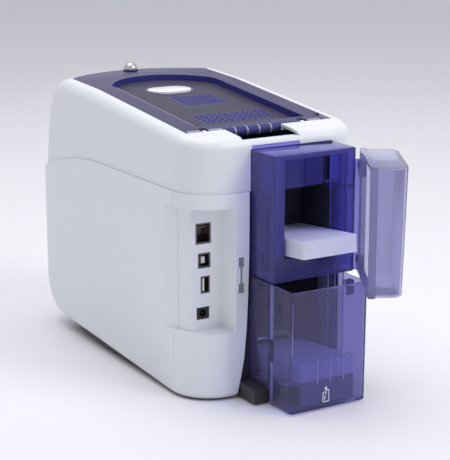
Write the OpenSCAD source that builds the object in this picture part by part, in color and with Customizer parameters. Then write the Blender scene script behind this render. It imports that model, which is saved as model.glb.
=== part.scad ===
// Desktop plastic-card printer: white casing, clear violet lid, card feeder with a swinging
// door above an output hopper with its own door, and the print works inside.
// X runs across the printer, +Y away from the card end, +Z up; the floor is z = 0.

/* [Casing] */
// Width across the lower side panels
body_w = 176; // [174:1:182]
// Length from the card end to the far corners
body_l = 298; // [296:1:306]
// Height of the roof at the card end
near_h = 222; // [221:0.5:224]
// Height of the roof at the far end
far_h = 244; // [242:0.5:246]
// Rise of the roof above a straight line between its two ends
roof_crown = 2; // [1:0.5:3]
// Thickness of the casing and of the panels
wall = 2.4; // [2.2:0.1:2.6]
// Plan radius of the two corners at the card end
corner_r = 38; // [36:1:40]
// Radius of the roof edges
edge_r = 13; // [12:0.5:14]
// How far the far end bows out at half height
far_bow = 12; // [8:1:16]
// How far the top of the far end bows out
top_bow = 32; // [28:1:36]
// Height where the lower panels meet the upper casing
wave_h = 178; // [176:1:182]
// Radius of the sweep of that joint towards the far end
wave_r = 350; // [320:10:400]
// Gap at every casing seam
seam = 0.4; // [0.3:0.1:0.6]

/* [Lid] */
// Width of the lid
lid_w = 144; // [142:1:146]
// Thickness of the lid skin
lid_t = 2.6; // [2.2:0.1:3]
// Depth of the sunk field in the lid
sink_d = 5.5; // [4.5:0.5:6]
// Width of the sunk field
sink_w = 108; // [104:1:112]
// Distance of the lid hinge from the card end
hinge_in = 40; // [39:0.5:42]
// Radius of the hinge barrel
barrel_r = 4.2; // [4:0.1:4.4]
// Length of the oval release button
oval_l = 43; // [40:1:46]
// Width of the oval release button
oval_w = 30; // [28:1:32]
// Diameter of the ball-shaped control button
ball_d = 13.6; // [12.6:0.2:14.6]

/* [Ports] */
// Height of the floor of the port pocket
pocket_low = 59; // [57:1:61]
// Height of the top of the port pocket
pocket_high = 166; // [164:1:168]
// Depth of the port plate behind the card end
pocket_d = 20; // [18:1:22]
// Distance of the panel joint from the card end
joint_in = 33; // [31:1:35]

/* [Cards] */
// Width of a card
card_w = 54; // [53:0.5:55]
// Length of a card
card_l = 85.6; // [84:0.2:87]
// Thickness of a card
card_t = 0.76; // [0.7:0.02:0.8]
// Cards in each stack
card_n = 19; // [12:1:20]
// Middle of the card path across the printer
card_x = 10; // [9:0.5:11]
// Slope of the card stacks down into the printer
card_tilt = 5.4; // [5:0.1:6]

/* [Feeder] */
// Width of the feeder housing
feeder_w = 81; // [80:1:84]
// Height of the underside of the feeder
feeder_low = 106.5; // [106:0.5:107]
// Height of the top of the feeder
feeder_top = 213; // [212:0.5:213.5]
// How far the feeder stands out of the card end
feeder_out = 32; // [31:1:34]
// Thickness of the clear mouldings
clear_t = 2.2; // [2:0.1:2.4]
// Depth of the feeder door
door_d = 31; // [30:1:32]
// How far the door stands open at rest
door_open = 60; // [50:1:70]

/* [Hopper] */
// Width of the output hopper
hopper_w = 76; // [75:0.5:77]
// Height of the top of the hopper
hopper_top = 105.5; // [104:0.5:105.5]
// How far the hopper stands out of the card end
hopper_out = 62; // [61:0.5:63]
// How far the fixed back part of the hopper stands out
hopper_back = 28; // [27:0.5:29]

/* [Works] */
// Height of the card path through the print works
path_h = 122.4; // [122:0.1:122.6]
// Place of the print line behind the card end
print_in = 99; // [97:1:101]
// Radius of the platen
platen_r = 9.5; // [9:0.1:9.8]
// Radius of the other card rollers
roller_r = 8; // [7.6:0.1:8.2]
// Diameter of the roller shafts
shaft_d = 6; // [5:0.5:6]
// Running clearance at every shaft, all round
run_gap = 0.05; // [0.03:0.01:0.08]
// Thickness of the steel side plates
plate_t = 1.5; // [1.2:0.1:1.8]
// Radius of the wound ribbon
ribbon_r = 17; // [14:0.5:18]

/* [Hidden] */
$fn = 48;

// colours
white_c = [0.90, 0.90, 0.92];
violet_c = [0.36, 0.33, 0.66];
pale_violet_c = [0.62, 0.60, 0.80];
dark_c = [0.12, 0.12, 0.15];
steel_c = [0.72, 0.73, 0.75];

// outline of the casing
near_y = -body_l / 2;
far_y = body_l / 2;
step = wall + 0.3;              // the upper casing stands this far inside the panels
body_low = 1.6;
top_lean = 46;                  // how far the far end leans back at its corners
lean_low = 140;                 // where that lean starts
top_y = far_y - top_lean;
mid_y = 46;
mid_h = near_h + (far_h - near_h) * (mid_y - near_y) / (top_y - near_y) + roof_crown;
roof_slope = atan((mid_h - near_h) / (mid_y - near_y));
heel_r = 40;                    // sweep under the far end
heel_h = 8;
lap = 5;                        // the upper casing reaches this far down inside the panels
wave_y = 21;                    // where the joint starts to sweep down

function roof(y) = y < mid_y
  ? near_h + (mid_h - near_h) * (y - near_y) / (mid_y - near_y)
  : mid_h + (far_h - mid_h) * (y - mid_y) / (top_y - mid_y);

// height of the roof along its middle line, beyond the middle
function ridge(y) = mid_h + (far_h - mid_h) * (y - mid_y) / (far_path(0, 90) - mid_y);

// lid
hinge_y = near_y + hinge_in;
hinge_z = roof(hinge_y) - barrel_r / cos(roof_slope);
lid_apex = 134;
lid_side = 105;
lid_arc = arc_r(lid_w / 2, lid_apex - lid_side);
sink_apex = 92;
sink_side = sink_apex - 34;
sink_arc = arc_r(sink_w / 2, sink_apex - sink_side);
lid_gap = 0.8;
seat_d = lid_t + 0.4;
seat_in = 3.5;
rim_t = 2.1;
barrel_x0 = -50;
barrel_x1 = 41;
ear_gap = 7;                    // room for a casing lug between the barrel and each ear
ear_x0 = -lid_w / 2 + 1;
ear_x1 = 66;
lug_t = 3;
pin_d = 3;
notch_x0 = -36;
notch_x1 = 20;
notch_d = 18;                   // depth of the bridge in front of the roof slot
bridge_drop = 2.6;
oval_y = 47;
ball_y = 125;
ball_sink = 6.2;              // depth of the dish it sits in
ball_rise = 2.2;              // height of its middle above the roof
ball_r = ball_d / 2;
stem_r = 3;
boss_d = sink_d + lid_t;      // depth of the boss round the ball-shaped button
boss_r = ball_r + 3;
boss_room = boss_r + 12;

function arc_r(half, rise) = (half * half + rise * rise) / (2 * rise);

// card end
end_x0 = -33;                   // edge of the white corner panel
end_x1 = 60;
frame_y = near_y + step + wall + 0.3;
frame_t = 2;
card_x0 = card_x - card_w / 2;
card_x1 = card_x + card_w / 2;
side_gap = 1.3;                 // room beside the cards
feeder_x0 = -30;
feeder_x1 = feeder_x0 + feeder_w;
feeder_y = near_y - feeder_out;
flange = 10.5;                  // width of the frame round the feeder mouth
stack_y = near_y + 28.6 - card_l;   // front edge of the cards in the feeder
stack_z = path_h + 0.5 + card_l * tan(card_tilt);
mouth_low = stack_z - 4.6;
chute_top = path_h + 54.6;
chute_t = 1.7;
chute_front = near_y - 12.5;
chute_back = near_y + 32.4;
door_x = feeder_x1 + 4;
door_y = feeder_y - 3;
knuckle_r = 3.2;
knuckle_h = 6;
door_pin_d = 2.4;
door_top = feeder_top - 0.3;
door_low = feeder_low + 1.2;
door_draft = 2.5;

// hopper
hopper_x0 = -31;
hopper_x1 = hopper_x0 + hopper_w;
hopper_y = near_y - hopper_out;
split_y = near_y - hopper_back;
hopper_low = 2;
hopper_floor = 14;
hdoor_x = hopper_x1 + 4.5;
hdoor_y = split_y - 3.3;
out_y = hopper_y + 7.5;
out_z = 25.6;
stack_h = card_t * card_n;

// works
plate_x0 = card_x0 - 5.5 - plate_t;
plate_x1 = card_x1 + 5.5;
plate_top = path_h + 72.6;
plate_back = 118;
tray_z = 4.4;
print_y = near_y + print_in;
feed_y = near_y + 19;
feed_z = stack_z - (feed_y - stack_y) * tan(card_tilt) - (roller_r + 0.25) / cos(card_tilt);
platen_z = path_h - 0.2 - platen_r;
transport_y = print_y + 80;
transport_z = path_h - 0.2 - roller_r;
eject_y = near_y + 49;
out_slope = 14.6;
out_end_y = print_y - 12;
eject_r = 7;
eject_z = guide_z(eject_y) - (eject_r + 0.2) / cos(out_slope);
motor_y = print_y;
motor_z = 60;
motor_w = 42;
pulley_x0 = plate_x1 + plate_t + 1.5;
pulley_w = 6;
second_x0 = pulley_x0 + pulley_w + 5;
pulley_pitch = 2;
feed_teeth = 32;
platen_teeth = 38;
transport_teeth = 32;
motor_teeth = 16;
eject_teeth = 28;
belt_t = 1.2;
belt_gap = 0.15;
shaft_r = shaft_d / 2;
clean_r = 6;
clean_y = near_y + 60;
clean_z = path_h + card_t + 0.3 + clean_r;
pinch_r = 6;
pinch_z = path_h + card_t + 0.3 + pinch_r;
supply_y = print_y - 42;
takeup_y = print_y + 68;
spool_z = path_h + 40.6;        // axis of both ribbon spools
core_r = 8;
head_gap = 1.1;
board_t = 1.6;
board_low = 22;
board_high = 164;
board_back = 60;

function guide_z(y) = path_h - 1.5 + (y - out_end_y) * tan(out_slope);
function teeth_r(n) = n * pulley_pitch / (2 * PI);

// port pocket, in plan
port_y = near_y + pocket_d;
pocket_x0 = -body_w / 2 + 10;
board_x = pocket_x0 + 20.4;
pocket_x1 = -48;
pocket_x2 = -46;
pocket_y0 = near_y + 47;
joint_y = near_y + joint_in;
far_seam_x = 50;

// helpers ------------------------------------------------------------------

// a Y-Z outline given thickness along X
module along_x(x0, x1) translate([x0, 0, 0]) rotate([90, 0, 90]) linear_extrude(x1 - x0) children();

// an X-Z outline given thickness along Y
module along_y(y0, y1) translate([0, y1, 0]) rotate([90, 0, 0]) linear_extrude(y1 - y0) children();

module box(x0, x1, y0, y1, z0, z1)
  translate([x0, y0, z0]) cube([x1 - x0, y1 - y0, z1 - z0]);

module rod_x(r, x0, x1, y, z) translate([x0, y, z]) rotate([0, 90, 0]) cylinder(r = r, h = x1 - x0);

module tube_x(r, hole, x0, x1, y, z) difference() {
  rod_x(r, x0, x1, y, z);
  rod_x(hole, x0 - 1, x1 + 1, y, z);
}

// a rounded plate in plan
module round_plate(w, l, h, r) linear_extrude(h) {
  translate([r, 0]) square([w - 2 * r, l]);
  translate([0, r]) square([w, l - 2 * r]);
  for (x = [r, w - r]) for (y = [r, l - r]) translate([x, y]) circle(r);
}

// The outer form of the casing, drawn in by inset all round and open below.
module form(inset, low = body_low) {
  er = edge_r - inset;
  cx = body_w / 2 - corner_r;
  sx = body_w / 2 - edge_r;
  drop = edge_r - step;
  hull() {
    for (s = [-1, 1]) {
      translate([s * cx, near_y + corner_r, roof(near_y + corner_r) - drop / cos(roof_slope)])
        rotate([roof_slope, 0, 0])
          rotate_extrude($fn = 48) translate([corner_r - edge_r, 0]) circle(er, $fn = 24);
      translate([s * cx, near_y + corner_r, low + 4]) cylinder(r = corner_r - inset, h = 1);
      translate([s * cx, near_y + corner_r, low]) cylinder(r = corner_r - inset - 3, h = 1);
      translate([s * sx, mid_y, mid_h - drop]) sphere(er, $fn = 24);
    }
    for (k = [-3 : 3]) let (u = k / 3) for (a = [0 : 18 : 90])
      translate([u * sx, far_path(u, a), lean_low + (far_h - drop - lean_low) * sin(a)])
        sphere(er, $fn = 20);
    for (k = [-3 : 3]) let (u = k / 3) for (a = [0 : 30 : 90])
      translate([u * sx, heel_path(u, a), heel_h + edge_r + (heel_r - edge_r) * (1 - sin(a))])
        sphere(er, $fn = 20);
    box(-sx, sx, -40, wave_y, low, low + 1);
  }
}

function bow(u) = far_bow * (1 - u * u);
function far_path(u, a) =
  far_y + bow(u) - edge_r - (top_lean - (top_bow - far_bow) * (1 - u * u) - edge_r) * (1 - cos(a));
function heel_path(u, a) = far_y + bow(u) - edge_r - (heel_r - edge_r) * (1 - cos(a));

// everything above the wavy joint, moved by rise
module above_wave(rise) along_x(-120, 120) polygon(concat(
  [[near_y - 20, wave_h + rise]],
  [for (y = [wave_y : 10 : far_y + 30]) [y, wave_h + rise - wave_r + sqrt(pow(wave_r, 2) - pow(y - wave_y, 2))]],
  [[far_y + 31, 300], [near_y - 20, 300]]));

// plan outline with straight sides and an arched far end, grown by grow
module arched(w, near, side, arc, grow) {
  translate([-w / 2 - grow, near]) square([w + 2 * grow, side - near]);
  intersection() {
    translate([-w / 2 - grow, side - 1]) square([w + 2 * grow, 100]);
    translate([0, apex_y(w, side, arc) - arc]) circle(arc + grow, $fn = 120);
  }
}
function apex_y(w, side, arc) = side + arc - sqrt(arc * arc - w * w / 4);

module lid_plan(grow, near) arched(lid_w, near, lid_side, lid_arc, grow);
module sink_plan(grow, near) arched(sink_w, near, sink_side, sink_arc, grow);
module high(z0) translate([0, 0, z0]) linear_extrude(300 - z0) children();

// plan of the port pocket, grown by t into the corner
module pocket_plan(t) polygon([
  [-body_w / 2 - 12, pocket_y0 + 1.2 * t],
  [-body_w / 2 + 0.8 * t, pocket_y0 + 1.2 * t],
  [pocket_x0 + 0.8 * t, port_y + t],
  [pocket_x1 + t, port_y + t],
  [pocket_x2 + t, near_y],
  [pocket_x2 + t, near_y - 12],
  [-body_w / 2 - 12, near_y - 12]]);

module pocket(t) translate([0, 0, pocket_low - t])
  linear_extrude(pocket_high - pocket_low + 2 * t) pocket_plan(t);

// the corner and side panel with the pocket let into it
module pocketed_shell() difference() {
  intersection() {
    form(0);
    union() {
      difference() {
        box(-100, 0, -200, 200, 0, 200);
        form(wall, -20);
      }
      pocket(wall);
    }
  }
  pocket(0);
  above_wave(0);
}

module plain_shell() difference() {
  form(0);
  form(wall, -20);
  above_wave(0);
}

// casing ---------------------------------------------------------------------

module left_side_panel() color(white_c) intersection() {
  pocketed_shell();
  box(-100, -far_seam_x - seam / 2, joint_y + seam / 2, 200, 0, 200);
}

// white edge beside the hopper, swept in towards the floor
module corner_edge() along_y(near_y - 20, joint_y - seam / 2) polygon([
  [-100, 0], [end_x0 - 12, 0], [end_x0 - 5, 32], [end_x0 - 1.4, 85], [end_x0, 130],
  [end_x0, 200], [-100, 200]]);

// sockets: x, z, width, height of each cut in the port plate
eth = [pocket_x0 + 12.1, 143, 15, 18];
usb_b = [pocket_x0 + 13, 119.7, 12.2, 13.2];
usb_a = [pocket_x0 + 13.9, 98.6, 9, 15];
dc = [pocket_x0 + 11.6, 74, 12.4, 10.6];
module port_cut(p, grow, y0, y1)
  box(p[0] - p[2] / 2 - grow, p[0] + p[2] / 2 + grow, y0, y1, p[1] - p[3] / 2 - grow, p[1] + p[3] / 2 + grow);

clip_x = -40.6;
clip_low = 92.5;
clip_high = 123.5;
module clip_shape(grow, y0, y1) {
  for (z = [clip_low, clip_high - 8.5])
    box(clip_x - 2.8 - grow, clip_x + 2.8 + grow, y0, y1, z - grow, z + 8.5 + grow);
  box(clip_x - 1.1 - grow, clip_x + 1.1 + grow, y0, y1, clip_low + 8, clip_high - 8);
}

module port_corner_panel() color(white_c) difference() {
  intersection() {
    pocketed_shell();
    corner_edge();
  }
  for (p = [eth, usb_b, usb_a, dc]) port_cut(p, 0, port_y - 1, port_y + wall + 1);
  clip_shape(0, near_y - 1, near_y + wall + 1);
}

module right_side_panel() color(white_c) intersection() {
  plain_shell();
  union() {
    box(far_seam_x + seam / 2, 100, 0, 200, 0, 200);
    box(end_x1, 100, -200, 0.01, 0, 200);
  }
}

module far_end_panel() color(white_c) intersection() {
  plain_shell();
  box(-far_seam_x + seam / 2, far_seam_x - seam / 2, 60, 200, 0, 200);
}

casing_near = hinge_y - barrel_r - lid_gap;

module upper_casing() color(white_c) union() {
  difference() {
    intersection() {
      form(step);
      above_wave(-lap);
    }
    // inside of the shell, left thicker round the lid opening
    difference() {
      form(step + wall, -20);
      high(200) lid_plan(lid_gap + rim_t, casing_near - rim_t);
    }
    form(step + seat_d + rim_t, -20);
    // rebate that the lid lies in
    difference() {
      high(200) lid_plan(lid_gap, casing_near);
      form(step + seat_d, -20);
    }
    high(200) lid_plan(-seat_in, casing_near);
    // the seat stops beside the boss under the ball-shaped button
    high(200) intersection() {
      lid_plan(lid_gap, casing_near);
      translate([-boss_room, ball_y - boss_room]) square([2 * boss_room, 100]);
    }
    box(-lid_w / 2 - lid_gap, lid_w / 2 + lid_gap, casing_near, hinge_y + 12, 200, 300);
    // roof slot and the low bridge in front of it
    box(notch_x0, notch_x1, near_y + notch_d - 3, casing_near + 1, 200, 300);
    box(notch_x0, notch_x1, near_y - 10, casing_near + 1, near_h - bridge_drop, 300);
    // opening for the feeder
    box(feeder_x0 - seam, feeder_x1 + seam, near_y - 10, near_y + 20, 150, feeder_top + seam);
    box(end_x0, end_x1, near_y - 10, near_y + 20, 150, wave_h);
  }
  // low bridge in front of the roof slot
  box(notch_x0 - 1, notch_x1 + 1, near_y + step + 3.5, near_y + notch_d - 3,
      near_h - bridge_drop - wall, near_h - bridge_drop);
  // hinge lugs
  for (x = [barrel_x0 - ear_gap / 2, barrel_x1 + ear_gap / 2]) difference() {
    union() {
      rod_x(barrel_r - 0.4, x - lug_t / 2, x + lug_t / 2, hinge_y, hinge_z);
      box(x - lug_t / 2, x + lug_t / 2, casing_near - rim_t, hinge_y, hinge_z - barrel_r + 0.4, hinge_z + 2.5);
    }
    rod_x(pin_d / 2 + 0.02, x - lug_t, x + lug_t, hinge_y, hinge_z);
  }
}

tray_w = body_w - 2 * (wall + 3.4);
tray_rim = 16;
module base_tray() color(dark_c) difference() {
  union() {
    intersection() {
      translate([-tray_w / 2, tray_y0, 0]) round_plate(tray_w, tray_y1 - tray_y0, 40, corner_r - wall - 4);
      along_x(-100, 100) polygon([[tray_y0, body_low], [wave_y, body_low], [tray_y1, heel_h - 0.6],
        [tray_y1, heel_h + tray_rim], [tray_y0, tray_rim]]);
    }
    // plinth under the hopper
    box(end_x0 - 9, hopper_x1, near_y - hopper_back + 5, tray_y0 + 2, body_low, hopper_floor);
  }
  intersection() {
    translate([-tray_w / 2 + 2, tray_y0 + 2, 0])
      round_plate(tray_w - 4, tray_y1 - tray_y0 - 4, 60, corner_r - wall - 6);
    along_x(-100, 100) polygon([[tray_y0, tray_z], [wave_y, tray_z], [tray_y1, heel_h + 2.2],
      [tray_y1, 60], [tray_y0, 60]]);
  }
  for (p = foot_places) translate([p[0], p[1], -1]) cylinder(r = foot_r, h = foot_top(p[1]) + 1);
}
tray_y0 = near_y + 8;
tray_y1 = 106;
function foot_top(y) = body_low + 1 + max(0, y - wave_y) * (heel_h - body_low) / (tray_y1 - wave_y);

foot_r = 7.5;
foot_places = [[-50, near_y + 30], [50, near_y + 30], [-58, 85], [58, 85]];
module feet() color(dark_c) for (p = foot_places) translate([p[0], p[1], 0]) {
  cylinder(r1 = foot_r - 1, r2 = foot_r - 0.2, h = 1);
  translate([0, 0, 1]) cylinder(r = foot_r - 0.2, h = foot_top(p[1]) - 1);
}

frame_x0 = pocket_x2 + wall + 0.3;
module end_frame() color(dark_c) difference() {
  union() {
    box(frame_x0, end_x1 - 2, frame_y, frame_y + frame_t, tray_z + 0.2, wave_h - 1);
    box(frame_x0, feeder_x1 - 1, frame_y, frame_y + frame_t, wave_h - 2, feeder_top - 2);
  }
  box(card_x0 - side_gap - chute_t - 0.3, card_x1 + side_gap + chute_t + 0.3, frame_y - 1, frame_y + frame_t + 1,
      hopper_floor + 0.6, chute_top + 0.4);
  box(frame_x0 - 1, hopper_x1 + 0.3, frame_y - 1, frame_y + frame_t + 1, 0, hopper_floor + 0.3);
  for (p = screw_places) translate([p[0], frame_y - 1, p[1]]) rotate([-90, 0, 0]) cylinder(r = 1.6, h = 5);
}

// ports ------------------------------------------------------------------------

module main_board() color([0.10, 0.38, 0.22]) difference() {
  box(board_x, board_x + board_t, port_y + wall + 0.4, board_back, board_low, board_high);
  for (p = standoff_places) rod_x(1.7, board_x - 1, board_x + board_t + 1, p[0], p[1]);
}

standoff_places = [[near_y + 34, 32], [near_y + 34, 154], [50, 32], [50, 154]];
module board_standoffs() color(steel_c) for (p = standoff_places) {
  tube_x(3.2, 1.5, board_x + board_t, plate_x0, p[0], p[1]);
}

module board_chips() color([0.15, 0.15, 0.17]) {
  for (c = [[-60, 60, 22], [-20, 110, 26], [20, 60, 18], [-85, 40, 14]])
    box(board_x - 2, board_x, c[0], c[0] + c[2], c[1], c[1] + c[2]);
  for (c = [[30, 120], [30, 135], [5, 140]]) rod_x(5, board_x - 12, board_x, c[0], c[1]);
}

socket_y0 = port_y + 0.3;
module socket_shell(p, t, depth, c) color(c) difference() {
  union() {
    port_cut(p, -seam, socket_y0, socket_y0 + depth);
    box(p[0], board_x, socket_y0 + wall + 0.2, socket_y0 + depth, p[1] - p[3] / 2 + seam, p[1] + p[3] / 2 - seam);
  }
  port_cut(p, -t - seam, socket_y0 - 1, socket_y0 + depth - 4);
}
module ethernet_socket() {
  socket_shell(eth, 1, 21, steel_c);
  color(dark_c) box(eth[0] - 5.5, eth[0] + 5.5, socket_y0 + 12, socket_y0 + 17, eth[1] - 3, eth[1] + 3);
}
module usb_b_socket() {
  socket_shell(usb_b, 1, 16, steel_c);
  color("white") box(usb_b[0] - 1.8, usb_b[0] + 1.8, socket_y0 + 2, socket_y0 + 12, usb_b[1] - 2.8, usb_b[1] + 2.8);
}
module usb_a_socket() {
  socket_shell(usb_a, 0.8, 14, steel_c);
  color("white") box(usb_a[0] - 2.2, usb_a[0] - 0.4, socket_y0 + 1, socket_y0 + 10, usb_a[1] - 5.4, usb_a[1] + 5.4);
}
module power_socket() {
  color(dark_c) difference() {
    union() {
      port_cut(dc, -seam, socket_y0, socket_y0 + 14);
      box(dc[0], board_x, socket_y0 + wall + 0.2, socket_y0 + 14, dc[1] - 4, dc[1] + 4);
    }
    translate([dc[0], socket_y0 - 1, dc[1]]) rotate([-90, 0, 0]) cylinder(r = 3.2, h = 11);
  }
  color(steel_c) translate([dc[0], socket_y0 + 1, dc[1]]) rotate([-90, 0, 0]) cylinder(r = 1, h = 9);
}

module panel_clip() color(dark_c) {
  clip_shape(-0.1, near_y + 1.2, near_y + wall + 0.3);
  box(clip_x - 2.4, clip_x + 4.5, near_y + wall + 0.3, near_y + wall + 1.2, clip_low - 3, clip_high + 3);
}

// feeder -----------------------------------------------------------------------

module feeder_housing() color(violet_c) {
  difference() {
    box(feeder_x0, feeder_x1, feeder_y, frame_y, feeder_low, feeder_top);
    // inside, open to the back
    box(feeder_x0 + clear_t, feeder_x1 - clear_t, feeder_y + clear_t, frame_y + 1,
        feeder_low + clear_t, feeder_top - clear_t);
    // mouth
    box(feeder_x0 + flange, feeder_x1 - flange + 1, feeder_y - 1, feeder_y + clear_t + 1, mouth_low, feeder_top - 4);
  }
  // guide walls beside the cards
  for (x = [card_x0 - side_gap - chute_t, card_x1 + side_gap])
    box(x, x + chute_t, feeder_y + clear_t, chute_front - 0.3, mouth_low - 3, feeder_top - clear_t);
  // wall above the chute
  box(card_x0 - side_gap - chute_t, card_x1 + side_gap + chute_t, near_y, near_y + clear_t,
      chute_top + 0.3, feeder_top - clear_t);
  // rim that closes the gap under the bridge
  box(feeder_x0 + 1, notch_x1 - 3, near_y + 1.2, near_y + 2.4, feeder_top, feeder_top + 3.4);
  // hinge strip and ears
  difference() {
    box(feeder_x1, door_x + knuckle_r, feeder_y, feeder_y + clear_t, door_low, door_top - 10);
    for (z = [upper_knuckle, lower_knuckle]) translate([door_x, door_y, z - knuckle_h - 0.3])
      cylinder(r = knuckle_r + 0.3, h = knuckle_h + 0.5);
  }
  for (z = ear_heights) hinge_ear(z);
}

upper_knuckle = door_top - 18;
lower_knuckle = door_low + 6;
ear_heights = [upper_knuckle + 0.4, lower_knuckle + 0.4];
module hinge_ear(z) translate([0, 0, z]) difference() {
  union() {
    translate([door_x, door_y, 0]) cylinder(r = knuckle_r, h = knuckle_h);
    translate([door_x - 1, door_y, 0]) cube([knuckle_r + 1, feeder_y - door_y + clear_t, knuckle_h]);
  }
  translate([door_x, door_y, -1]) cylinder(r = door_pin_d / 2 + 0.02, h = knuckle_h + 2);
}

module feeder_door_pins() color(steel_c) for (z = [upper_knuckle, lower_knuckle])
  translate([door_x, door_y, z - knuckle_h + 0.5]) cylinder(r = door_pin_d / 2, h = 2 * knuckle_h - 1);

// A box-like door drawn closed, with its hinge line at the origin: w wide, d deep, h high,
// open at the back. The corners have radius r and the box gets shallower downwards by draft.
module door_box(w, d, h, r, draft, gap, t, rear) difference() {
  door_solid(gap, w, rear, d, 0, h, r, draft);
  door_solid(gap + t, w - t, rear + 1, d - t, t, h - t, r - t, draft);
}
module door_solid(x0, x1, rear, d, z0, z1, r, draft) intersection() {
  translate([0, 0, z0]) linear_extrude(z1 - z0) {
    translate([-x1, -d + r]) square([x1 - x0, d + rear - r]);
    translate([-x1 + r, -d]) square([x1 - x0 - 2 * r, r + 1]);
    for (x = [-x1 + r, -x0 - r]) translate([x, -d + r]) circle(r);
  }
  along_x(-x1 - 1, 1 - x0) polygon([[rear + 1, z0 - 1], [draft - d, z0 - 1], [-d, z1 + 1], [rear + 1, z1 + 1]]);
}

// knuckle of a door at its hinge line, with an arm to the side wall of the door
module door_knuckle(gap, z) translate([0, 0, z]) difference() {
  union() {
    cylinder(r = knuckle_r, h = knuckle_h);
    translate([-gap - 0.5, -knuckle_r, 0]) cube([gap + 0.5, knuckle_r, knuckle_h]);
  }
  translate([0, 0, -1]) cylinder(r = door_pin_d / 2 + run_gap, h = knuckle_h + 2);
}

feeder_door_gap = 4.3;
module feeder_door() color(pale_violet_c)
  translate([door_x, door_y, door_low]) rotate([0, 0, door_open]) {
    door_box(door_x - feeder_x0, door_d - 3, door_top - door_low, 10, door_draft,
             feeder_door_gap, clear_t - 0.2, feeder_y - door_y - 0.3);
    for (z = [upper_knuckle, lower_knuckle]) door_knuckle(feeder_door_gap, z - door_low - knuckle_h);
  }

// stack of cards with its front lower edge at y, z
module stack(y, z) translate([card_x0, y, z]) rotate([-card_tilt, 0, 0])
  for (i = [0 : card_n - 1]) translate([0, 0, i * card_t]) round_plate(card_w, card_l, card_t, 3.18);

module input_cards() color([0.90, 0.91, 0.95]) stack(stack_y, stack_z);
module output_cards() color([0.84, 0.84, 0.93]) stack(out_y, out_z);

function under(y, y0, z0) = z0 - (y - y0) * tan(card_tilt);

shelf_back = feed_y - roller_r - 3;
module feeder_shelf() color(dark_c) {
  // sloping shelf on two legs
  along_x(card_x0 - side_gap + 0.3, card_x1 + side_gap - 0.3) polygon([
    [feeder_y + clear_t + 0.3, under(feeder_y + clear_t + 0.3, stack_y, stack_z)],
    [shelf_back, under(shelf_back, stack_y, stack_z)],
    [shelf_back, under(shelf_back, stack_y, stack_z) - 3],
    [feeder_y + clear_t + 0.3, under(feeder_y + clear_t + 0.3, stack_y, stack_z) - 3]]);
  for (x = [card_x0 + 2, card_x1 - 5]) along_x(x, x + 3) polygon([
    [feeder_y + clear_t + 2, feeder_low + clear_t],
    [near_y - 4, feeder_low + clear_t],
    [near_y - 4, under(near_y - 4, stack_y, stack_z) - 2],
    [feeder_y + clear_t + 2, under(feeder_y + clear_t + 2, stack_y, stack_z) - 2]]);
  // tongue under the middle of the cards, out through the mouth
  along_x(card_x - 8, card_x + 8) polygon([
    [stack_y + 6, under(stack_y + 6, stack_y, stack_z)],
    [feeder_y + clear_t + 1, under(feeder_y + clear_t + 1, stack_y, stack_z)],
    [feeder_y + clear_t + 1, under(feeder_y + clear_t + 1, stack_y, stack_z) - 1.6],
    [stack_y + 6, under(stack_y + 6, stack_y, stack_z) - 1.6]]);
}

chute_low = feed_z + roller_r - 12;
gate_slot = path_h + 2;
module card_chute() color(dark_c) {
  for (x = [card_x0 - side_gap - chute_t, card_x1 + side_gap]) difference() {
    box(x, x + chute_t, chute_front, chute_back, chute_low, chute_top);
    rod_x(roller_r + 1.5, x - 1, x + chute_t + 1, feed_y, feed_z);
  }
  box(card_x0 - side_gap - chute_t, card_x1 + side_gap + chute_t, near_y + 4, chute_back,
      chute_top - chute_t, chute_top);
  difference() {
    box(card_x0 - side_gap, card_x1 + side_gap, chute_back - 2, chute_back, chute_low, chute_top - chute_t);
    box(card_x0 - 0.5, card_x1 + 0.5, chute_back - 3, chute_back + 1, path_h - 0.8, gate_slot + 2);
  }
  // rails for the gate
  for (x = [card_x - 14, card_x + 11.7]) difference() {
    box(x, x + 2.3, chute_back, chute_back + 3.6, path_h + 8, path_h + 40);
    box(x == card_x - 14 ? x + 1 : x - 0.1, x == card_x - 14 ? x + 2.4 : x + 1.3,
        chute_back + 0.2, chute_back + 2.2, path_h, path_h + 41);
  }
}

gate_t = 1.8;
module thickness_gate() color([0.75, 0.2, 0.15]) {
  box(card_x - 12.8, card_x + 12.8, chute_back + 0.3, chute_back + 0.3 + gate_t, path_h + 1.6, path_h + 44);
  box(card_x - 4, card_x + 4, chute_back + 0.3 + gate_t, chute_back + 5.5, path_h + 36, path_h + 41);
}

// hopper -------------------------------------------------------------------------

module hopper_body() color(pale_violet_c) {
  difference() {
    box(hopper_x0, hopper_x1, split_y, frame_y, hopper_floor, hopper_top);
    box(hopper_x0 + clear_t, hopper_x1 - clear_t, split_y - 1, frame_y + 1, hopper_floor + clear_t, hopper_top + 1);
    box(hopper_x0 - 1, hopper_x0 + 1, near_y + 2, frame_y + 1, 0, 200);
  }
  for (z = hear_heights) translate([0, 0, z]) difference() {
    union() {
      translate([hdoor_x, hdoor_y, 0]) cylinder(r = knuckle_r, h = knuckle_h);
      translate([hdoor_x - 1, hdoor_y, 0]) cube([knuckle_r + 1, split_y + clear_t - hdoor_y, knuckle_h]);
      translate([hopper_x1 - 0.5, split_y, 0]) cube([hdoor_x - hopper_x1 + knuckle_r + 0.5, clear_t, knuckle_h]);
    }
    translate([hdoor_x, hdoor_y, -1]) cylinder(r = door_pin_d / 2 + 0.02, h = knuckle_h + 2);
  }
}
hupper = hopper_top - 14;
hlower = hopper_floor + 12;
hear_heights = [hupper + 0.4, hlower + 0.4];

module hopper_door_pins() color(steel_c) for (z = [hupper, hlower])
  translate([hdoor_x, hdoor_y, z - knuckle_h + 0.5]) cylinder(r = door_pin_d / 2, h = 2 * knuckle_h - 1);

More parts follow.
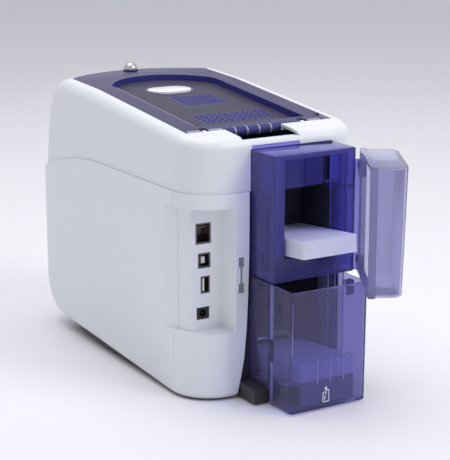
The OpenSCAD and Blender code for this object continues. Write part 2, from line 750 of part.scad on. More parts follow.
hopper_door_gap = 4.5;
module hopper_door() color(pale_violet_c) translate([hdoor_x, hdoor_y, hopper_low]) {
  difference() {
    door_box(hdoor_x - hopper_x0, hdoor_y - hopper_y, hopper_top - hopper_low, 4, 1,
             hopper_door_gap, clear_t, split_y - hdoor_y - 0.3);
    // open top
    door_solid(hopper_door_gap + clear_t, hdoor_x - hopper_x0 - clear_t, 20, hdoor_y - hopper_y - clear_t,
               hopper_top - hopper_low - 8, hopper_top - hopper_low + 8, 1.8, 0);
  }
  for (z = [hupper, hlower]) door_knuckle(hopper_door_gap, z - hopper_low - knuckle_h);
  // finger latch on the free edge
  translate([-(hdoor_x - hopper_x0) - 0.8, -3, 38]) cube([0.8, 5.6, 19]);
}

module hopper_platform() color([0.45, 0.44, 0.56]) {
  x0 = card_x0 - 8;
  x1 = card_x1 - 1;
  front = out_y;
  intersection() {
    along_x(x0, x1) polygon([
      [front, under(front, out_y, out_z)], [near_y - 2, under(near_y - 2, out_y, out_z)],
      [near_y - 2, hopper_floor + clear_t], [split_y + 1, hopper_floor + clear_t],
      [split_y + 1, under(split_y, out_y, out_z) - 3], [front + 2.4, under(front, out_y, out_z) - 3],
      [front + 2.4, hopper_low + 3], [front, hopper_low + 3]]);
    translate([0, 0, 0]) linear_extrude(60) polygon([
      [x0, near_y], [x0, front + 14], [x0 + 10, front - 1], [x1 + 1, front - 1], [x1 + 1, near_y]]);
  }
}

// lid ------------------------------------------------------------------------------

function skin_z(y, depth) = roof(y) - depth / cos(roof_slope);

module vent(half_w, y0, y1, n, bar) for (i = [0 : n - 1]) {
  pitch = (y1 - y0) / n;
  box(-half_w, half_w, y0 + i * pitch + bar / 2, y0 + (i + 1) * pitch - bar / 2, 200, 260);
}

module oval(grow) {
  r = oval_w / 2 + grow;
  for (s = [-1, 1]) translate([s * (oval_l - oval_w) / 2, oval_y]) circle(r);
  translate([-(oval_l - oval_w) / 2, oval_y - r]) square([oval_l - oval_w, 2 * r]);
}

module lid() color(violet_c) difference() {
  union() {
    difference() {
      intersection() {
        form(step);
        high(205) lid_plan(0, hinge_y);
      }
      difference() {
        form(step + lid_t, -20);
        high(190) sink_plan(rim_t, hinge_y + 8);
        high(190) lid_boss_plan();
      }
      form(step + sink_d + lid_t, -20);
      difference() {
        high(190) sink_plan(0, hinge_y + 10);
        form(step + sink_d, -20);
      }
      // clear of the hinge zone
      box(-100, 100, hinge_y - 9, hinge_y + 0.01, 150, 300);
      for (x = [barrel_x0 - ear_gap / 2, barrel_x1 + ear_gap / 2])
        box(x - ear_gap / 2, x + ear_gap / 2, hinge_y - 9, hinge_y + barrel_r + 1, 150, 300);
      box(ear_x1, 100, hinge_y - 9, hinge_y + 14, 150, 300);
      box(-100, ear_x0, hinge_y - 9, hinge_y + 10, 150, 300);
    }
    rod_x(barrel_r, barrel_x0, barrel_x1, hinge_y, hinge_z);
    rod_x(barrel_r, ear_x0, barrel_x0 - ear_gap, hinge_y, hinge_z);
    rod_x(barrel_r, barrel_x1 + ear_gap, ear_x1, hinge_y, hinge_z);
  }
  rod_x(pin_d / 2 + run_gap, pin_left, pin_left + pin_len, hinge_y, hinge_z);
  rod_x(pin_d / 2 + run_gap, pin_right, pin_right + pin_len, hinge_y, hinge_z);
  vent(21, -15, 20, 9, 1.8);
  vent(35, -74, -46, 8, 1.7);
  high(190) oval(0.5);
  translate([0, ball_y, ridge(ball_y) - ball_sink]) cylinder(r = ball_r + 1, h = 20);
  translate([0, ball_y, 200]) cylinder(r = stem_r + run_gap, h = 60);
}
module lid_boss_plan() translate([0, ball_y]) circle(boss_r);

pin_len = 20;
pin_left = barrel_x0 - ear_gap / 2 - pin_len / 2;
pin_right = barrel_x1 + ear_gap / 2 - pin_len / 2;
module lid_pins() color(steel_c) for (x = [pin_left, pin_right])
  rod_x(pin_d / 2, x + 0.3, x + pin_len - 0.3, hinge_y, hinge_z);

// oval button that releases the catch: a cap with a skirt and a flange below the lid
button_proud = 0.8;
module lid_button() color(white_c) {
  top = skin_z(oval_y, sink_d) + button_proud;
  difference() {
    translate([0, 0, top - 7.2]) linear_extrude(7.2) oval(0);
    translate([0, 0, top - 8]) linear_extrude(6) oval(-1.8);
  }
  difference() {
    translate([0, 0, top - 7.2]) linear_extrude(1.4) oval(3);
    translate([0, 0, top - 8]) linear_extrude(4) oval(-1.8);
  }
  // finger that reaches towards the catch
  box(-4, 4, oval_y + oval_w / 2 - 1.8, oval_y + oval_w / 2, top - 20, top - 6);
}

catch_y = 78;
module lid_catch() color(dark_c) {
  z = ridge(catch_y) - boss_d - 0.15;
  box(-9, 9, catch_y - 2, catch_y + 2, z - 34, z);
  box(-9, 9, catch_y + 1, catch_y + 3.5, z - 34, z - 30);
}

module control_button() color([0.8, 0.8, 0.82]) {
  z = ridge(ball_y);
  translate([0, ball_y, z + ball_rise]) sphere(ball_r);
  translate([0, ball_y, z - boss_d - 1]) cylinder(r = stem_r, h = boss_d + 1);
  translate([0, ball_y, z - boss_d - 2.2]) cylinder(r = 5, h = 1.8);
}

// print works --------------------------------------------------------------------

module plate_holes(x0) {
  for (p = [[feed_y, feed_z], [print_y, platen_z], [transport_y, transport_z], [eject_y, eject_z]])
    rod_x(shaft_r + run_gap, x0 - 1, x0 + plate_t + 1, p[0], p[1]);
  for (p = [[clean_y, clean_z], [transport_y, pinch_z]]) rod_x(2 + run_gap, x0 - 1, x0 + plate_t + 1, p[0], p[1]);
  for (p = bar_places) rod_x(2, x0 - 1, x0 + plate_t + 1, p[0], p[1]);
}

bar_places = [[-100, 30], [100, 30], [100, 150]];
module side_plate(x0) difference() {
  along_x(x0, x0 + plate_t) polygon([
    [frame_y + frame_t, tray_rim + 0.3], [tray_y0 + 2.3, tray_rim + 0.3], [tray_y0 + 2.3, tray_z],
    [wave_y, tray_z], [tray_y1 - 2.4, heel_h + 2.2], [tray_y1 - 2.4, heel_h + tray_rim + 2],
    [plate_back, heel_h + tray_rim + 2],
    [plate_back, spool_z + 2], [catch_y + 18, keeper_z + 6], [catch_y + 2, keeper_z + 6],
    [55, spool_z + 15], [print_y - 30, spool_z + 15], [near_y + 40, plate_top], [frame_y + frame_t, plate_top]]);
  plate_holes(x0);
}
module left_side_plate() color(steel_c) difference() {
  side_plate(plate_x0);
  for (p = standoff_places) rod_x(1.6, plate_x0 - 1, plate_x0 + plate_t + 1, p[0], p[1]);
}
module right_side_plate() color(steel_c) difference() {
  side_plate(plate_x1);
  rod_x(12, plate_x1 - 1, plate_x1 + plate_t + 1, motor_y, motor_z);
}

module tie_bars() color(steel_c) {
  for (p = bar_places) {
    rod_x(4, plate_x0 + plate_t, plate_x1, p[0], p[1]);
    rod_x(2, plate_x0 - 0.5, plate_x1 + plate_t + 0.5, p[0], p[1]);
  }
  // keeper that the lid hook grips
  rod_x(2.5, plate_x0 + plate_t, plate_x1, catch_y + 9.5, keeper_z);
}
keeper_z = ridge(catch_y) - boss_d - 27;

module roller(r, y, z, w) tube_x(r, shaft_r, card_x - w / 2, card_x + w / 2, y, z);
module shaft(y, z, x1) rod_x(shaft_r, plate_x0 - 4, x1, y, z);
module pulley(teeth, y, z, x0) difference() {
  union() {
    rod_x(teeth_r(teeth) - belt_gap, x0, x0 + pulley_w, y, z);
    rod_x(teeth_r(teeth) + 1, x0 - 1, x0, y, z);
    rod_x(teeth_r(teeth) + 1, x0 + pulley_w, x0 + pulley_w + 1, y, z);
  }
}
first_end = pulley_x0 + pulley_w + 2;
second_end = second_x0 + pulley_w + 2;

module feed_roller() color([0.2, 0.2, 0.22]) roller(roller_r, feed_y, feed_z, 30);
module feed_shaft() color(steel_c) {
  shaft(feed_y, feed_z, second_end);
  pulley(feed_teeth, feed_y, feed_z, pulley_x0);
  pulley(feed_teeth, feed_y, feed_z, second_x0);
}
module platen_roller() color([0.2, 0.2, 0.22]) roller(platen_r, print_y, platen_z, 58);
module platen_shaft() color(steel_c) {
  shaft(print_y, platen_z, first_end);
  pulley(platen_teeth, print_y, platen_z, pulley_x0);
}
module transport_roller() color([0.2, 0.2, 0.22]) roller(roller_r, transport_y, transport_z, 50);
module transport_shaft() color(steel_c) {
  shaft(transport_y, transport_z, first_end);
  pulley(transport_teeth, transport_y, transport_z, pulley_x0);
}
module eject_roller() color([0.2, 0.2, 0.22]) roller(eject_r, eject_y, eject_z, 40);
module eject_shaft() color(steel_c) {
  shaft(eject_y, eject_z, second_end);
  pulley(eject_teeth, eject_y, eject_z, second_x0);
}
module idler(r, y, z, c) {
  color(c) rod_x(r, card_x - 28, card_x + 28, y, z);
  color(steel_c) rod_x(2, plate_x0 - 2, plate_x1 + plate_t + 2, y, z);
}
module pinch_roller() idler(pinch_r, transport_y, pinch_z, [0.85, 0.85, 0.82]);
module cleaning_roller() idler(clean_r, clean_y, clean_z, [0.2, 0.45, 0.75]);

// loop of belt round pulleys given as [teeth, y, z]
module belt(x0, wheels) color([0.1, 0.1, 0.1]) difference() {
  hull() for (w = wheels) rod_x(teeth_r(w[0]) + belt_t, x0 + 0.3, x0 + pulley_w - 0.3, w[1], w[2]);
  hull() for (w = wheels) rod_x(teeth_r(w[0]), x0 - 1, x0 + pulley_w + 1, w[1], w[2]);
}
module drive_belt() belt(pulley_x0, [[feed_teeth, feed_y, feed_z], [platen_teeth, print_y, platen_z],
  [transport_teeth, transport_y, transport_z], [motor_teeth, motor_y, motor_z]]);
module eject_belt() belt(second_x0, [[feed_teeth, feed_y, feed_z], [eject_teeth, eject_y, eject_z]]);

module drive_motor() color([0.25, 0.25, 0.27]) difference() {
  union() {
    box(plate_x1 - 34, plate_x1, motor_y - motor_w / 2, motor_y + motor_w / 2, motor_z - motor_w / 2, motor_z + motor_w / 2);
    rod_x(11, plate_x1, plate_x1 + plate_t, motor_y, motor_z);
  }
  rod_x(2.5 + run_gap, plate_x1 - 20, plate_x1 + 5, motor_y, motor_z);
}
module motor_pulley() color(steel_c) {
  rod_x(2.5, plate_x1 - 19, pulley_x0 + pulley_w + 1, motor_y, motor_z);
  pulley(motor_teeth, motor_y, motor_z, pulley_x0);
}

module card_guide() color(dark_c) {
  x0 = plate_x0 + plate_t;
  along_x(x0, plate_x1) polygon([
    [eject_y + eject_r + 3, guide_z(eject_y + eject_r + 3)],
    [out_end_y, guide_z(out_end_y)], [out_end_y, guide_z(out_end_y) - 2],
    [eject_y + eject_r + 3, guide_z(eject_y + eject_r + 3) - 2]]);
  box(x0, plate_x1, chute_back + 1, out_end_y - 14, path_h - 1.4, path_h - 0.2);
  box(x0, plate_x1, print_y + platen_r + 3, transport_y - roller_r - 3, path_h - 2, path_h - 0.2);
}

// head assembly under the lid: two arms and a cross bar, the head below
head_top = skin_z(print_y, sink_d + lid_t);
head_z = path_h + head_gap;
module print_head_bracket() color(steel_c) {
  for (x = [card_x - 24, card_x + 21]) box(x, x + 3, print_y - 9, print_y + 9, head_z + 20, head_top - 2);
  box(card_x - 24, card_x + 24, print_y - 9, print_y + 9, head_z + 18, head_z + 20);
  along_x(card_x - 28, card_x + 28) polygon([for (c = [[-1, 0], [1, 0], [1, 2], [-1, 2]])
    [print_y + 12 * c[0], skin_z(print_y + 12 * c[0], sink_d + lid_t) - 0.02 - c[1]]]);
}
module print_head() color([0.78, 0.78, 0.8]) {
  box(card_x - 28, card_x + 28, print_y - 8, print_y + 8, head_z + 6, head_z + 18);
  along_x(card_x - 28, card_x + 28) polygon([
    [print_y - 8, head_z + 6], [print_y - 1.5, head_z], [print_y + 1.5, head_z], [print_y + 8, head_z + 6]]);
}

cheek_x = [card_x0 - 4.6, card_x1 + 2.6];
module ribbon_frame() color([0.88, 0.88, 0.86]) {
  for (x = cheek_x) difference() {
    along_x(x, x + 2) polygon([
      [supply_y - 22, spool_z - 20], [supply_y + 20, spool_z - 20], [supply_y + 20, spool_z - 4],
      [takeup_y - 20, spool_z - 4], [takeup_y - 20, spool_z - 20], [takeup_y + 21, spool_z - 20],
      [takeup_y + 21, spool_z + 14], [supply_y - 22, spool_z + 14]]);
    for (y = [supply_y, takeup_y]) rod_x(4 + run_gap, x - 1, x + 3, y, spool_z);
  }
  for (y = [supply_y - 21, takeup_y + 18]) box(cheek_x[0] + 2, cheek_x[1], y, y + 2, spool_z - 18, spool_z - 12);
  // feet on the side plates
  for (y = [supply_y - 18, takeup_y + 12]) {
    box(plate_x0 + plate_t, cheek_x[0], y, y + 6, spool_z - 18, spool_z - 14);
    box(cheek_x[1] + 2, plate_x1, y, y + 6, spool_z - 18, spool_z - 14);
  }
}
module spool(y, r, film) {
  color([0.95, 0.95, 0.93]) rod_x(4, cheek_x[0] - 0.8, cheek_x[1] + 2.8, y, spool_z);
  color([0.95, 0.95, 0.93]) rod_x(core_r, cheek_x[0] + 2.3, cheek_x[1] - 0.3, y, spool_z);
  color(film) tube_x(r, core_r, card_x0 - 0.5, card_x1 + 0.5, y, spool_z);
}
module supply_spool() spool(supply_y, ribbon_r, [0.85, 0.45, 0.2]);
module takeup_spool() spool(takeup_y, core_r + 3, [0.25, 0.25, 0.6]);
module ribbon_web() color([0.75, 0.35, 0.5]) along_x(card_x0, card_x1) {
  t = 0.25;
  z0 = path_h + card_t + 0.02;
  low1 = spool_z - ribbon_r - 0.3;
  low2 = spool_z - core_r - 3.3;
  polygon([[supply_y, low1], [print_y - 2, z0], [print_y + 2, z0], [takeup_y, low2],
    [takeup_y, low2 - t], [print_y + 2, z0 - t], [print_y - 2, z0 - t], [supply_y, low1 - t]]);
}

screw_places = [[end_x0 - 6, 60], [end_x0 - 6, 150], [end_x1 - 6, 60], [end_x1 - 6, 150]];
module cover_screws() color(steel_c) for (p = screw_places)
  translate([p[0], frame_y + frame_t, p[1]]) rotate([-90, 0, 0]) {
    cylinder(r = 2.8, h = 1.6);
    translate([0, 0, -frame_t]) cylinder(r = 1.5, h = frame_t);
  }

// every sub-part ---------------------------------------------------------------------

base_tray();
feet();
left_side_panel();
port_corner_panel();
right_side_panel();
far_end_panel();
upper_casing();
end_frame();
left_side_plate();
right_side_plate();
tie_bars();
main_board();
board_chips();
board_standoffs();
ethernet_socket();
usb_b_socket();
usb_a_socket();
power_socket();
panel_clip();
feeder_housing();
feeder_shelf();
card_chute();
input_cards();
thickness_gate();
feeder_door();
feeder_door_pins();
hopper_body();
hopper_door();
hopper_door_pins();
hopper_platform();
output_cards();
lid();
lid_pins();
lid_button();
lid_catch();
control_button();
print_head_bracket();
print_head();
ribbon_frame();
ribbon_web();
supply_spool();
takeup_spool();
feed_roller();
feed_shaft();
platen_roller();
platen_shaft();
transport_roller();
transport_shaft();
eject_roller();
eject_shaft();
pinch_roller();
cleaning_roller();
card_guide();
drive_motor();
motor_pulley();
drive_belt();
eject_belt();
cover_screws();
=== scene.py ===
import math
import random

import bmesh
import bpy
import numpy as np
from mathutils import Matrix, Vector


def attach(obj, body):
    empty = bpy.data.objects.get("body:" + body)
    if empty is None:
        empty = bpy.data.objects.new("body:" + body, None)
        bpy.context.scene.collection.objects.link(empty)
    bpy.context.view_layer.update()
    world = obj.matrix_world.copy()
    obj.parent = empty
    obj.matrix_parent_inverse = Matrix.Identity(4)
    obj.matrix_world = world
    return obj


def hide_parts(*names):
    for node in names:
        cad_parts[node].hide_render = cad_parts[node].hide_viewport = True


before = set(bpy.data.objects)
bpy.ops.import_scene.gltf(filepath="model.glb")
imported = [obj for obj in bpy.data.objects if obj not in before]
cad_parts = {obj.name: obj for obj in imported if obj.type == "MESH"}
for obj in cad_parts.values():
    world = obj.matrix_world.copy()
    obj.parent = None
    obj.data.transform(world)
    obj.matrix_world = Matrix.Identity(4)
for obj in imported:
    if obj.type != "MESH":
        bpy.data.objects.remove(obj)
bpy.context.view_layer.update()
MM = 0.001

# ---------------------------------------------------------------- sizes, in millimetres
BODY_W, BODY_L = 176.0, 298.0
NEAR_Y, FAR_Y = -BODY_L / 2, BODY_L / 2
NEAR_H, FAR_H = 222.0, 244.0
WALL, STEP = 2.4, 2.7
CORNER_R, EDGE_R = 38.0, 13.0
FAR_BOW, TOP_BOW = 12.0, 32.0
TOP_LEAN, LEAN_LOW = 46.0, 140.0
TOP_Y, MID_Y = FAR_Y - TOP_LEAN, 46.0
MID_H = NEAR_H + (FAR_H - NEAR_H) * (MID_Y - NEAR_Y) / (TOP_Y - NEAR_Y) + 2.0
SLOPE = math.atan((MID_H - NEAR_H) / (MID_Y - NEAR_Y))
HEEL_R, HEEL_H, BODY_LOW = 40.0, 8.0, 1.6
WAVE_Y, WAVE_H, WAVE_R, LAP = 21.0, 178.0, 350.0, 5.0
SEAM = 0.4
LID_W, LID_T, SINK_D, SINK_W = 144.0, 2.6, 5.5, 108.0
BARREL_R = 4.2
HINGE_Y = NEAR_Y + 40.0
LID_GAP, SEAT_D, RIM_T = 0.8, 3.0, 2.1
CASING_NEAR = HINGE_Y - BARREL_R - LID_GAP
OVAL_Y, OVAL_L, OVAL_W = 47.0, 43.0, 30.0
BALL_Y, BALL_R, BALL_RISE, BALL_SINK = 125.0, 6.8, 2.2, 6.2
NOTCH_X0, NOTCH_X1, NOTCH_D, BRIDGE_DROP = -36.0, 20.0, 18.0, 2.6
SEAT_IN = 3.5                               # how far the seat reaches in under the lid
LUG_X, LUG_T, LUG_R, LUG_ROOM = (-53.5, 44.5), 3.0, 3.8, 3.5   # casing lugs that hold the lid's pins
SINK_EDGE, SINK_NEAR = 0.3, HINGE_Y + 10    # split round the sunk field, and its near edge
ROOF_CUT, LID_CUT = (200, 300), (190, 300)  # heights that a cut through the roof or the lid spans
END_X0, END_X1 = -33.0, 60.0
FEEDER_X0, FEEDER_X1 = -30.0, 51.0
FEEDER_Y, FEEDER_LOW, FEEDER_TOP = NEAR_Y - 32.0, 106.5, 213.0
MOUTH_LOW, CLEAR_T = 126.4, 2.2
DOOR_X, DOOR_Y, DOOR_Z, DOOR_OPEN = 55.0, FEEDER_Y - 3, 107.7, 60
PIN_BOSS_R = 3.2
JOINT_Y, FAR_SEAM_X = NEAR_Y + 33.0, 50.0
PORT_Y = NEAR_Y + 20.0
POCKET_LOW, POCKET_HIGH = 59.0, 166.0
CLIP_HOLE = ((-43.4, -37.8, 92.5, 101.0), (-43.4, -37.8, 115.0, 123.5), (-41.7, -39.5, 100.5, 115.5))
CARD_W, CARD_L, CARD_T, CARD_N, CARD_X = 54.0, 85.6, 0.76, 19, 10.0
CARD_TILT = 5.4
SHARP = 28                                  # edges sharper than this many degrees stay sharp
FLOOR_REACH = 12000.0


def roof(y):
    if y < MID_Y:
        return NEAR_H + (MID_H - NEAR_H) * (y - NEAR_Y) / (MID_Y - NEAR_Y)
    return MID_H + (FAR_H - MID_H) * (y - MID_Y) / (TOP_Y - MID_Y)


HINGE_Z = roof(HINGE_Y) - BARREL_R / math.cos(SLOPE)


# ---------------------------------------------------------------- mesh helpers
def new_mesh(name, points, faces):
    """A mesh object from points in millimetres."""
    data = bpy.data.meshes.new(name)
    data.from_pydata([tuple(c * MM for c in p) for p in points], [], faces)
    data.validate()
    piece = bpy.data.objects.new(name, data)
    bpy.context.scene.collection.objects.link(piece)
    return piece


def clean(piece, normals=True):
    work = bmesh.new()
    work.from_mesh(piece.data)
    bmesh.ops.remove_doubles(work, verts=work.verts, dist=1e-6)
    if normals:
        bmesh.ops.recalc_face_normals(work, faces=work.faces)
    work.to_mesh(piece.data)
    work.free()
    return piece


def box(name, x0, x1, y0, y1, z0, z1):
    points = [(x, y, z) for z in (z0, z1) for y in (y0, y1) for x in (x0, x1)]
    faces = [(0, 2, 3, 1), (4, 5, 7, 6), (0, 1, 5, 4), (2, 6, 7, 3), (0, 4, 6, 2), (1, 3, 7, 5)]
    return new_mesh(name, points, faces)


def prism(name, outline, low, high, axis="z"):
    """An outline given thickness along one axis: (x, y) along z, (y, z) along x, (x, z) along y."""
    place = {"z": lambda a, b, c: (a, b, c), "x": lambda a, b, c: (c, a, b),
             "y": lambda a, b, c: (a, c, b)}[axis]
    count = len(outline)
    points = [place(a, b, low) for a, b in outline] + [place(a, b, high) for a, b in outline]
    faces = [tuple(range(count)), tuple(range(2 * count - 1, count - 1, -1))]
    faces += [(k, (k + 1) % count, (k + 1) % count + count, k + count) for k in range(count)]
    return clean(new_mesh(name, points, faces))


def rod(name, radius, start, end, sides=48):
    """A round bar between two points."""
    start, end = Vector(start), Vector(end)
    along = (end - start).normalized()
    side = along.orthogonal().normalized()
    other = along.cross(side)
    points = []
    for centre in (start, end):
        for k in range(sides):
            turn = 2 * math.pi * k / sides
            points.append(centre + radius * (math.cos(turn) * side + math.sin(turn) * other))
    faces = [tuple(range(sides - 1, -1, -1)), tuple(range(sides, 2 * sides))]
    faces += [(k, (k + 1) % sides, (k + 1) % sides + sides, k + sides) for k in range(sides)]
    return clean(new_mesh(name, points, faces))


def arc(cx, cy, r, a0, a1, steps):
    return [(cx + r * math.cos(math.radians(a0 + (a1 - a0) * k / steps)),
             cy + r * math.sin(math.radians(a0 + (a1 - a0) * k / steps))) for k in range(steps + 1)]


def rounded(x0, x1, y0, y1, r, steps=8):
    """Outline of a rectangle with round corners."""
    return (arc(x1 - r, y0 + r, r, -90, 0, steps) + arc(x1 - r, y1 - r, r, 0, 90, steps)
            + arc(x0 + r, y1 - r, r, 90, 180, steps) + arc(x0 + r, y0 + r, r, 180, 270, steps))


def apply_modifiers(piece):
    graph = bpy.context.evaluated_depsgraph_get()
    data = bpy.data.meshes.new_from_object(piece.evaluated_get(graph))
    piece.modifiers.clear()
    piece.data = data
    return piece


def combine(piece, others, how="DIFFERENCE", keep=False):
    """Cuts, joins or intersects the piece with each of the others."""
    for other in others:
        step = piece.modifiers.new("combine", "BOOLEAN")
        step.operation = how
        step.solver = "EXACT"
        step.object = other
        apply_modifiers(piece)
        if not keep:
            bpy.data.objects.remove(other)
    return piece


def copy_of(piece, name):
    twin = piece.copy()
    twin.data = piece.data.copy()
    twin.name = name
    bpy.context.scene.collection.objects.link(twin)
    return twin


def drop(*pieces):
    for piece in pieces:
        bpy.data.objects.remove(piece)


def soften(piece, width, segments=2, angle=40):
    """Rounds the sharp edges by width, in millimetres."""
    edge = piece.modifiers.new("edge", "BEVEL")
    edge.width = width * MM
    edge.segments = segments
    edge.limit_method = "ANGLE"
    edge.angle_limit = math.radians(angle)
    edge.harden_normals = False
    return apply_modifiers(piece)


def smooth(piece, angle=35):
    for face in piece.data.polygons:
        face.use_smooth = True
    piece.data.set_sharp_from_angle(angle=math.radians(angle))
    return piece


def finish(piece, material, body, slot, *nodes):
    piece.data.materials.clear()
    piece.data.materials.append(material)
    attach(piece, body)
    if nodes:
        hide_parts(*nodes)
    return piece


def join(name, pieces):
    """Puts several meshes into one object without cutting them."""
    work = bmesh.new()
    for piece in pieces:
        work.from_mesh(piece.data)
    data = bpy.data.meshes.new(name)
    work.to_mesh(data)
    work.free()
    drop(*pieces)
    whole = bpy.data.objects.new(name, data)
    bpy.context.scene.collection.objects.link(whole)
    return whole


# ---------------------------------------------------------------- finishes
def group_socket(tree, name, kind, way, value=None):
    socket = tree.interface.new_socket(name=name, in_out=way, socket_type=kind)
    if value is not None:
        socket.default_value = value
    return socket


def moulded_group():
    """Fine moulded grain, faint cloudiness and handling smears, for every plastic and metal surface."""
    tree = bpy.data.node_groups.new("moulded_surface", "ShaderNodeTree")
    group_socket(tree, "Color", "NodeSocketColor", "INPUT", (0.8, 0.8, 0.8, 1))
    group_socket(tree, "Grain Scale", "NodeSocketFloat", "INPUT", 1500.0)
    group_socket(tree, "Cloud", "NodeSocketFloat", "INPUT", 0.05)
    group_socket(tree, "Roughness", "NodeSocketFloat", "INPUT", 0.4)
    group_socket(tree, "Smears", "NodeSocketFloat", "INPUT", 0.1)
    group_socket(tree, "Color", "NodeSocketColor", "OUTPUT")
    group_socket(tree, "Roughness", "NodeSocketFloat", "OUTPUT")
    group_socket(tree, "Grain", "NodeSocketFloat", "OUTPUT")
    nodes, links = tree.nodes, tree.links
    source, sink = nodes.new("NodeGroupInput"), nodes.new("NodeGroupOutput")
    where = nodes.new("ShaderNodeTexCoord")
    grain = nodes.new("ShaderNodeTexNoise")
    grain.inputs["Detail"].default_value = 3
    links.new(where.outputs["Object"], grain.inputs["Vector"])
    links.new(source.outputs["Grain Scale"], grain.inputs["Scale"])
    cloud = nodes.new("ShaderNodeTexNoise")
    cloud.inputs["Scale"].default_value = 14
    cloud.inputs["Detail"].default_value = 4
    links.new(where.outputs["Object"], cloud.inputs["Vector"])
    swing = nodes.new("ShaderNodeMath")
    swing.operation = "SUBTRACT"
    swing.inputs[1].default_value = 0.5
    links.new(cloud.outputs["Fac"], swing.inputs[0])
    amount = nodes.new("ShaderNodeMath")
    amount.operation = "MULTIPLY_ADD"
    amount.inputs[2].default_value = 1.0
    links.new(swing.outputs[0], amount.inputs[0])
    links.new(source.outputs["Cloud"], amount.inputs[1])
    tint = nodes.new("ShaderNodeVectorMath")
    tint.operation = "SCALE"
    links.new(source.outputs["Color"], tint.inputs[0])
    links.new(amount.outputs[0], tint.inputs["Scale"])
    smear = nodes.new("ShaderNodeTexNoise")
    smear.inputs["Scale"].default_value = 38
    smear.inputs["Detail"].default_value = 6
    smear.inputs["Distortion"].default_value = 0.8
    links.new(where.outputs["Object"], smear.inputs["Vector"])
    rough = nodes.new("ShaderNodeMath")
    rough.operation = "MULTIPLY_ADD"
    links.new(smear.outputs["Fac"], rough.inputs[0])
    links.new(source.outputs["Smears"], rough.inputs[1])
    links.new(source.outputs["Roughness"], rough.inputs[2])
    links.new(tint.outputs["Vector"], sink.inputs["Color"])
    links.new(rough.outputs[0], sink.inputs["Roughness"])
    links.new(grain.outputs["Fac"], sink.inputs["Grain"])
    return tree


def brushed_group():
    """Long fine scratches along Y, for rolled and ground steel."""
    tree = bpy.data.node_groups.new("brushed_lines", "ShaderNodeTree")
    group_socket(tree, "Scale", "NodeSocketFloat", "INPUT", 900.0)
    group_socket(tree, "Lines", "NodeSocketFloat", "OUTPUT")
    nodes, links = tree.nodes, tree.links
    source, sink = nodes.new("NodeGroupInput"), nodes.new("NodeGroupOutput")
    where = nodes.new("ShaderNodeTexCoord")
    pull = nodes.new("ShaderNodeMapping")
    pull.inputs["Scale"].default_value = (1.0, 0.02, 1.0)
    lines = nodes.new("ShaderNodeTexNoise")
    links.new(where.outputs["Object"], pull.inputs["Vector"])
    links.new(pull.outputs["Vector"], lines.inputs["Vector"])
    links.new(source.outputs["Scale"], lines.inputs["Scale"])
    links.new(lines.outputs["Fac"], sink.inputs["Lines"])
    return tree


MOULDED, BRUSHED = moulded_group(), brushed_group()


def surface(name, color, roughness, grain=0.06, grain_scale=1500.0, cloud=0.05, smears=0.1, **sockets):
    """A material on the shared moulded surface; sockets name the shader's own constant values."""
    material = bpy.data.materials.new(name)
    material.use_nodes = True
    nodes, links = material.node_tree.nodes, material.node_tree.links
    shader = nodes["Principled BSDF"]
    skin = nodes.new("ShaderNodeGroup")
    skin.node_tree = MOULDED
    skin.inputs["Color"].default_value = (*color, 1)
    skin.inputs["Grain Scale"].default_value = grain_scale
    skin.inputs["Cloud"].default_value = cloud
    skin.inputs["Roughness"].default_value = roughness - smears / 2
    skin.inputs["Smears"].default_value = smears
    relief = nodes.new("ShaderNodeBump")
    relief.inputs["Strength"].default_value = grain
    relief.inputs["Distance"].default_value = 0.0002
    links.new(skin.outputs["Color"], shader.inputs["Base Color"])
    links.new(skin.outputs["Roughness"], shader.inputs["Roughness"])
    links.new(skin.outputs["Grain"], relief.inputs["Height"])
    links.new(relief.outputs["Normal"], shader.inputs["Normal"])
    for socket, value in sockets.items():
        shader.inputs[socket.replace("_", " ")].default_value = value
    return material


def metal(name, color, roughness, lines=0.1):
    material = surface(name, color, roughness, grain=0.0, smears=0.12, Metallic=1.0)
    nodes, links = material.node_tree.nodes, material.node_tree.links
    brush = nodes.new("ShaderNodeGroup")
    brush.node_tree = BRUSHED
    relief = nodes["Bump"]
    relief.inputs["Strength"].default_value = lines
    links.new(brush.outputs["Lines"], relief.inputs["Height"])
    return material


def clear(name, color, shadow, roughness=0.06, through=0.8, ior=1.3):
    """Tinted clear plastic whose shadow keeps the tint."""
    material = surface(name, color, roughness, grain=0.02, grain_scale=300, cloud=0.08, smears=0.05,
                       Transmission_Weight=through, IOR=ior)
    nodes, links = material.node_tree.nodes, material.node_tree.links
    pass_light = nodes.new("ShaderNodeBsdfTransparent")
    pass_light.inputs["Color"].default_value = (*shadow, 1)
    path = nodes.new("ShaderNodeLightPath")
    mix = nodes.new("ShaderNodeMixShader")
    links.new(path.outputs["Is Shadow Ray"], mix.inputs["Fac"])
    links.new(nodes["Principled BSDF"].outputs["BSDF"], mix.inputs[1])
    links.new(pass_light.outputs["BSDF"], mix.inputs[2])
    links.new(mix.outputs["Shader"], nodes["Material Output"].inputs["Surface"])
    return material


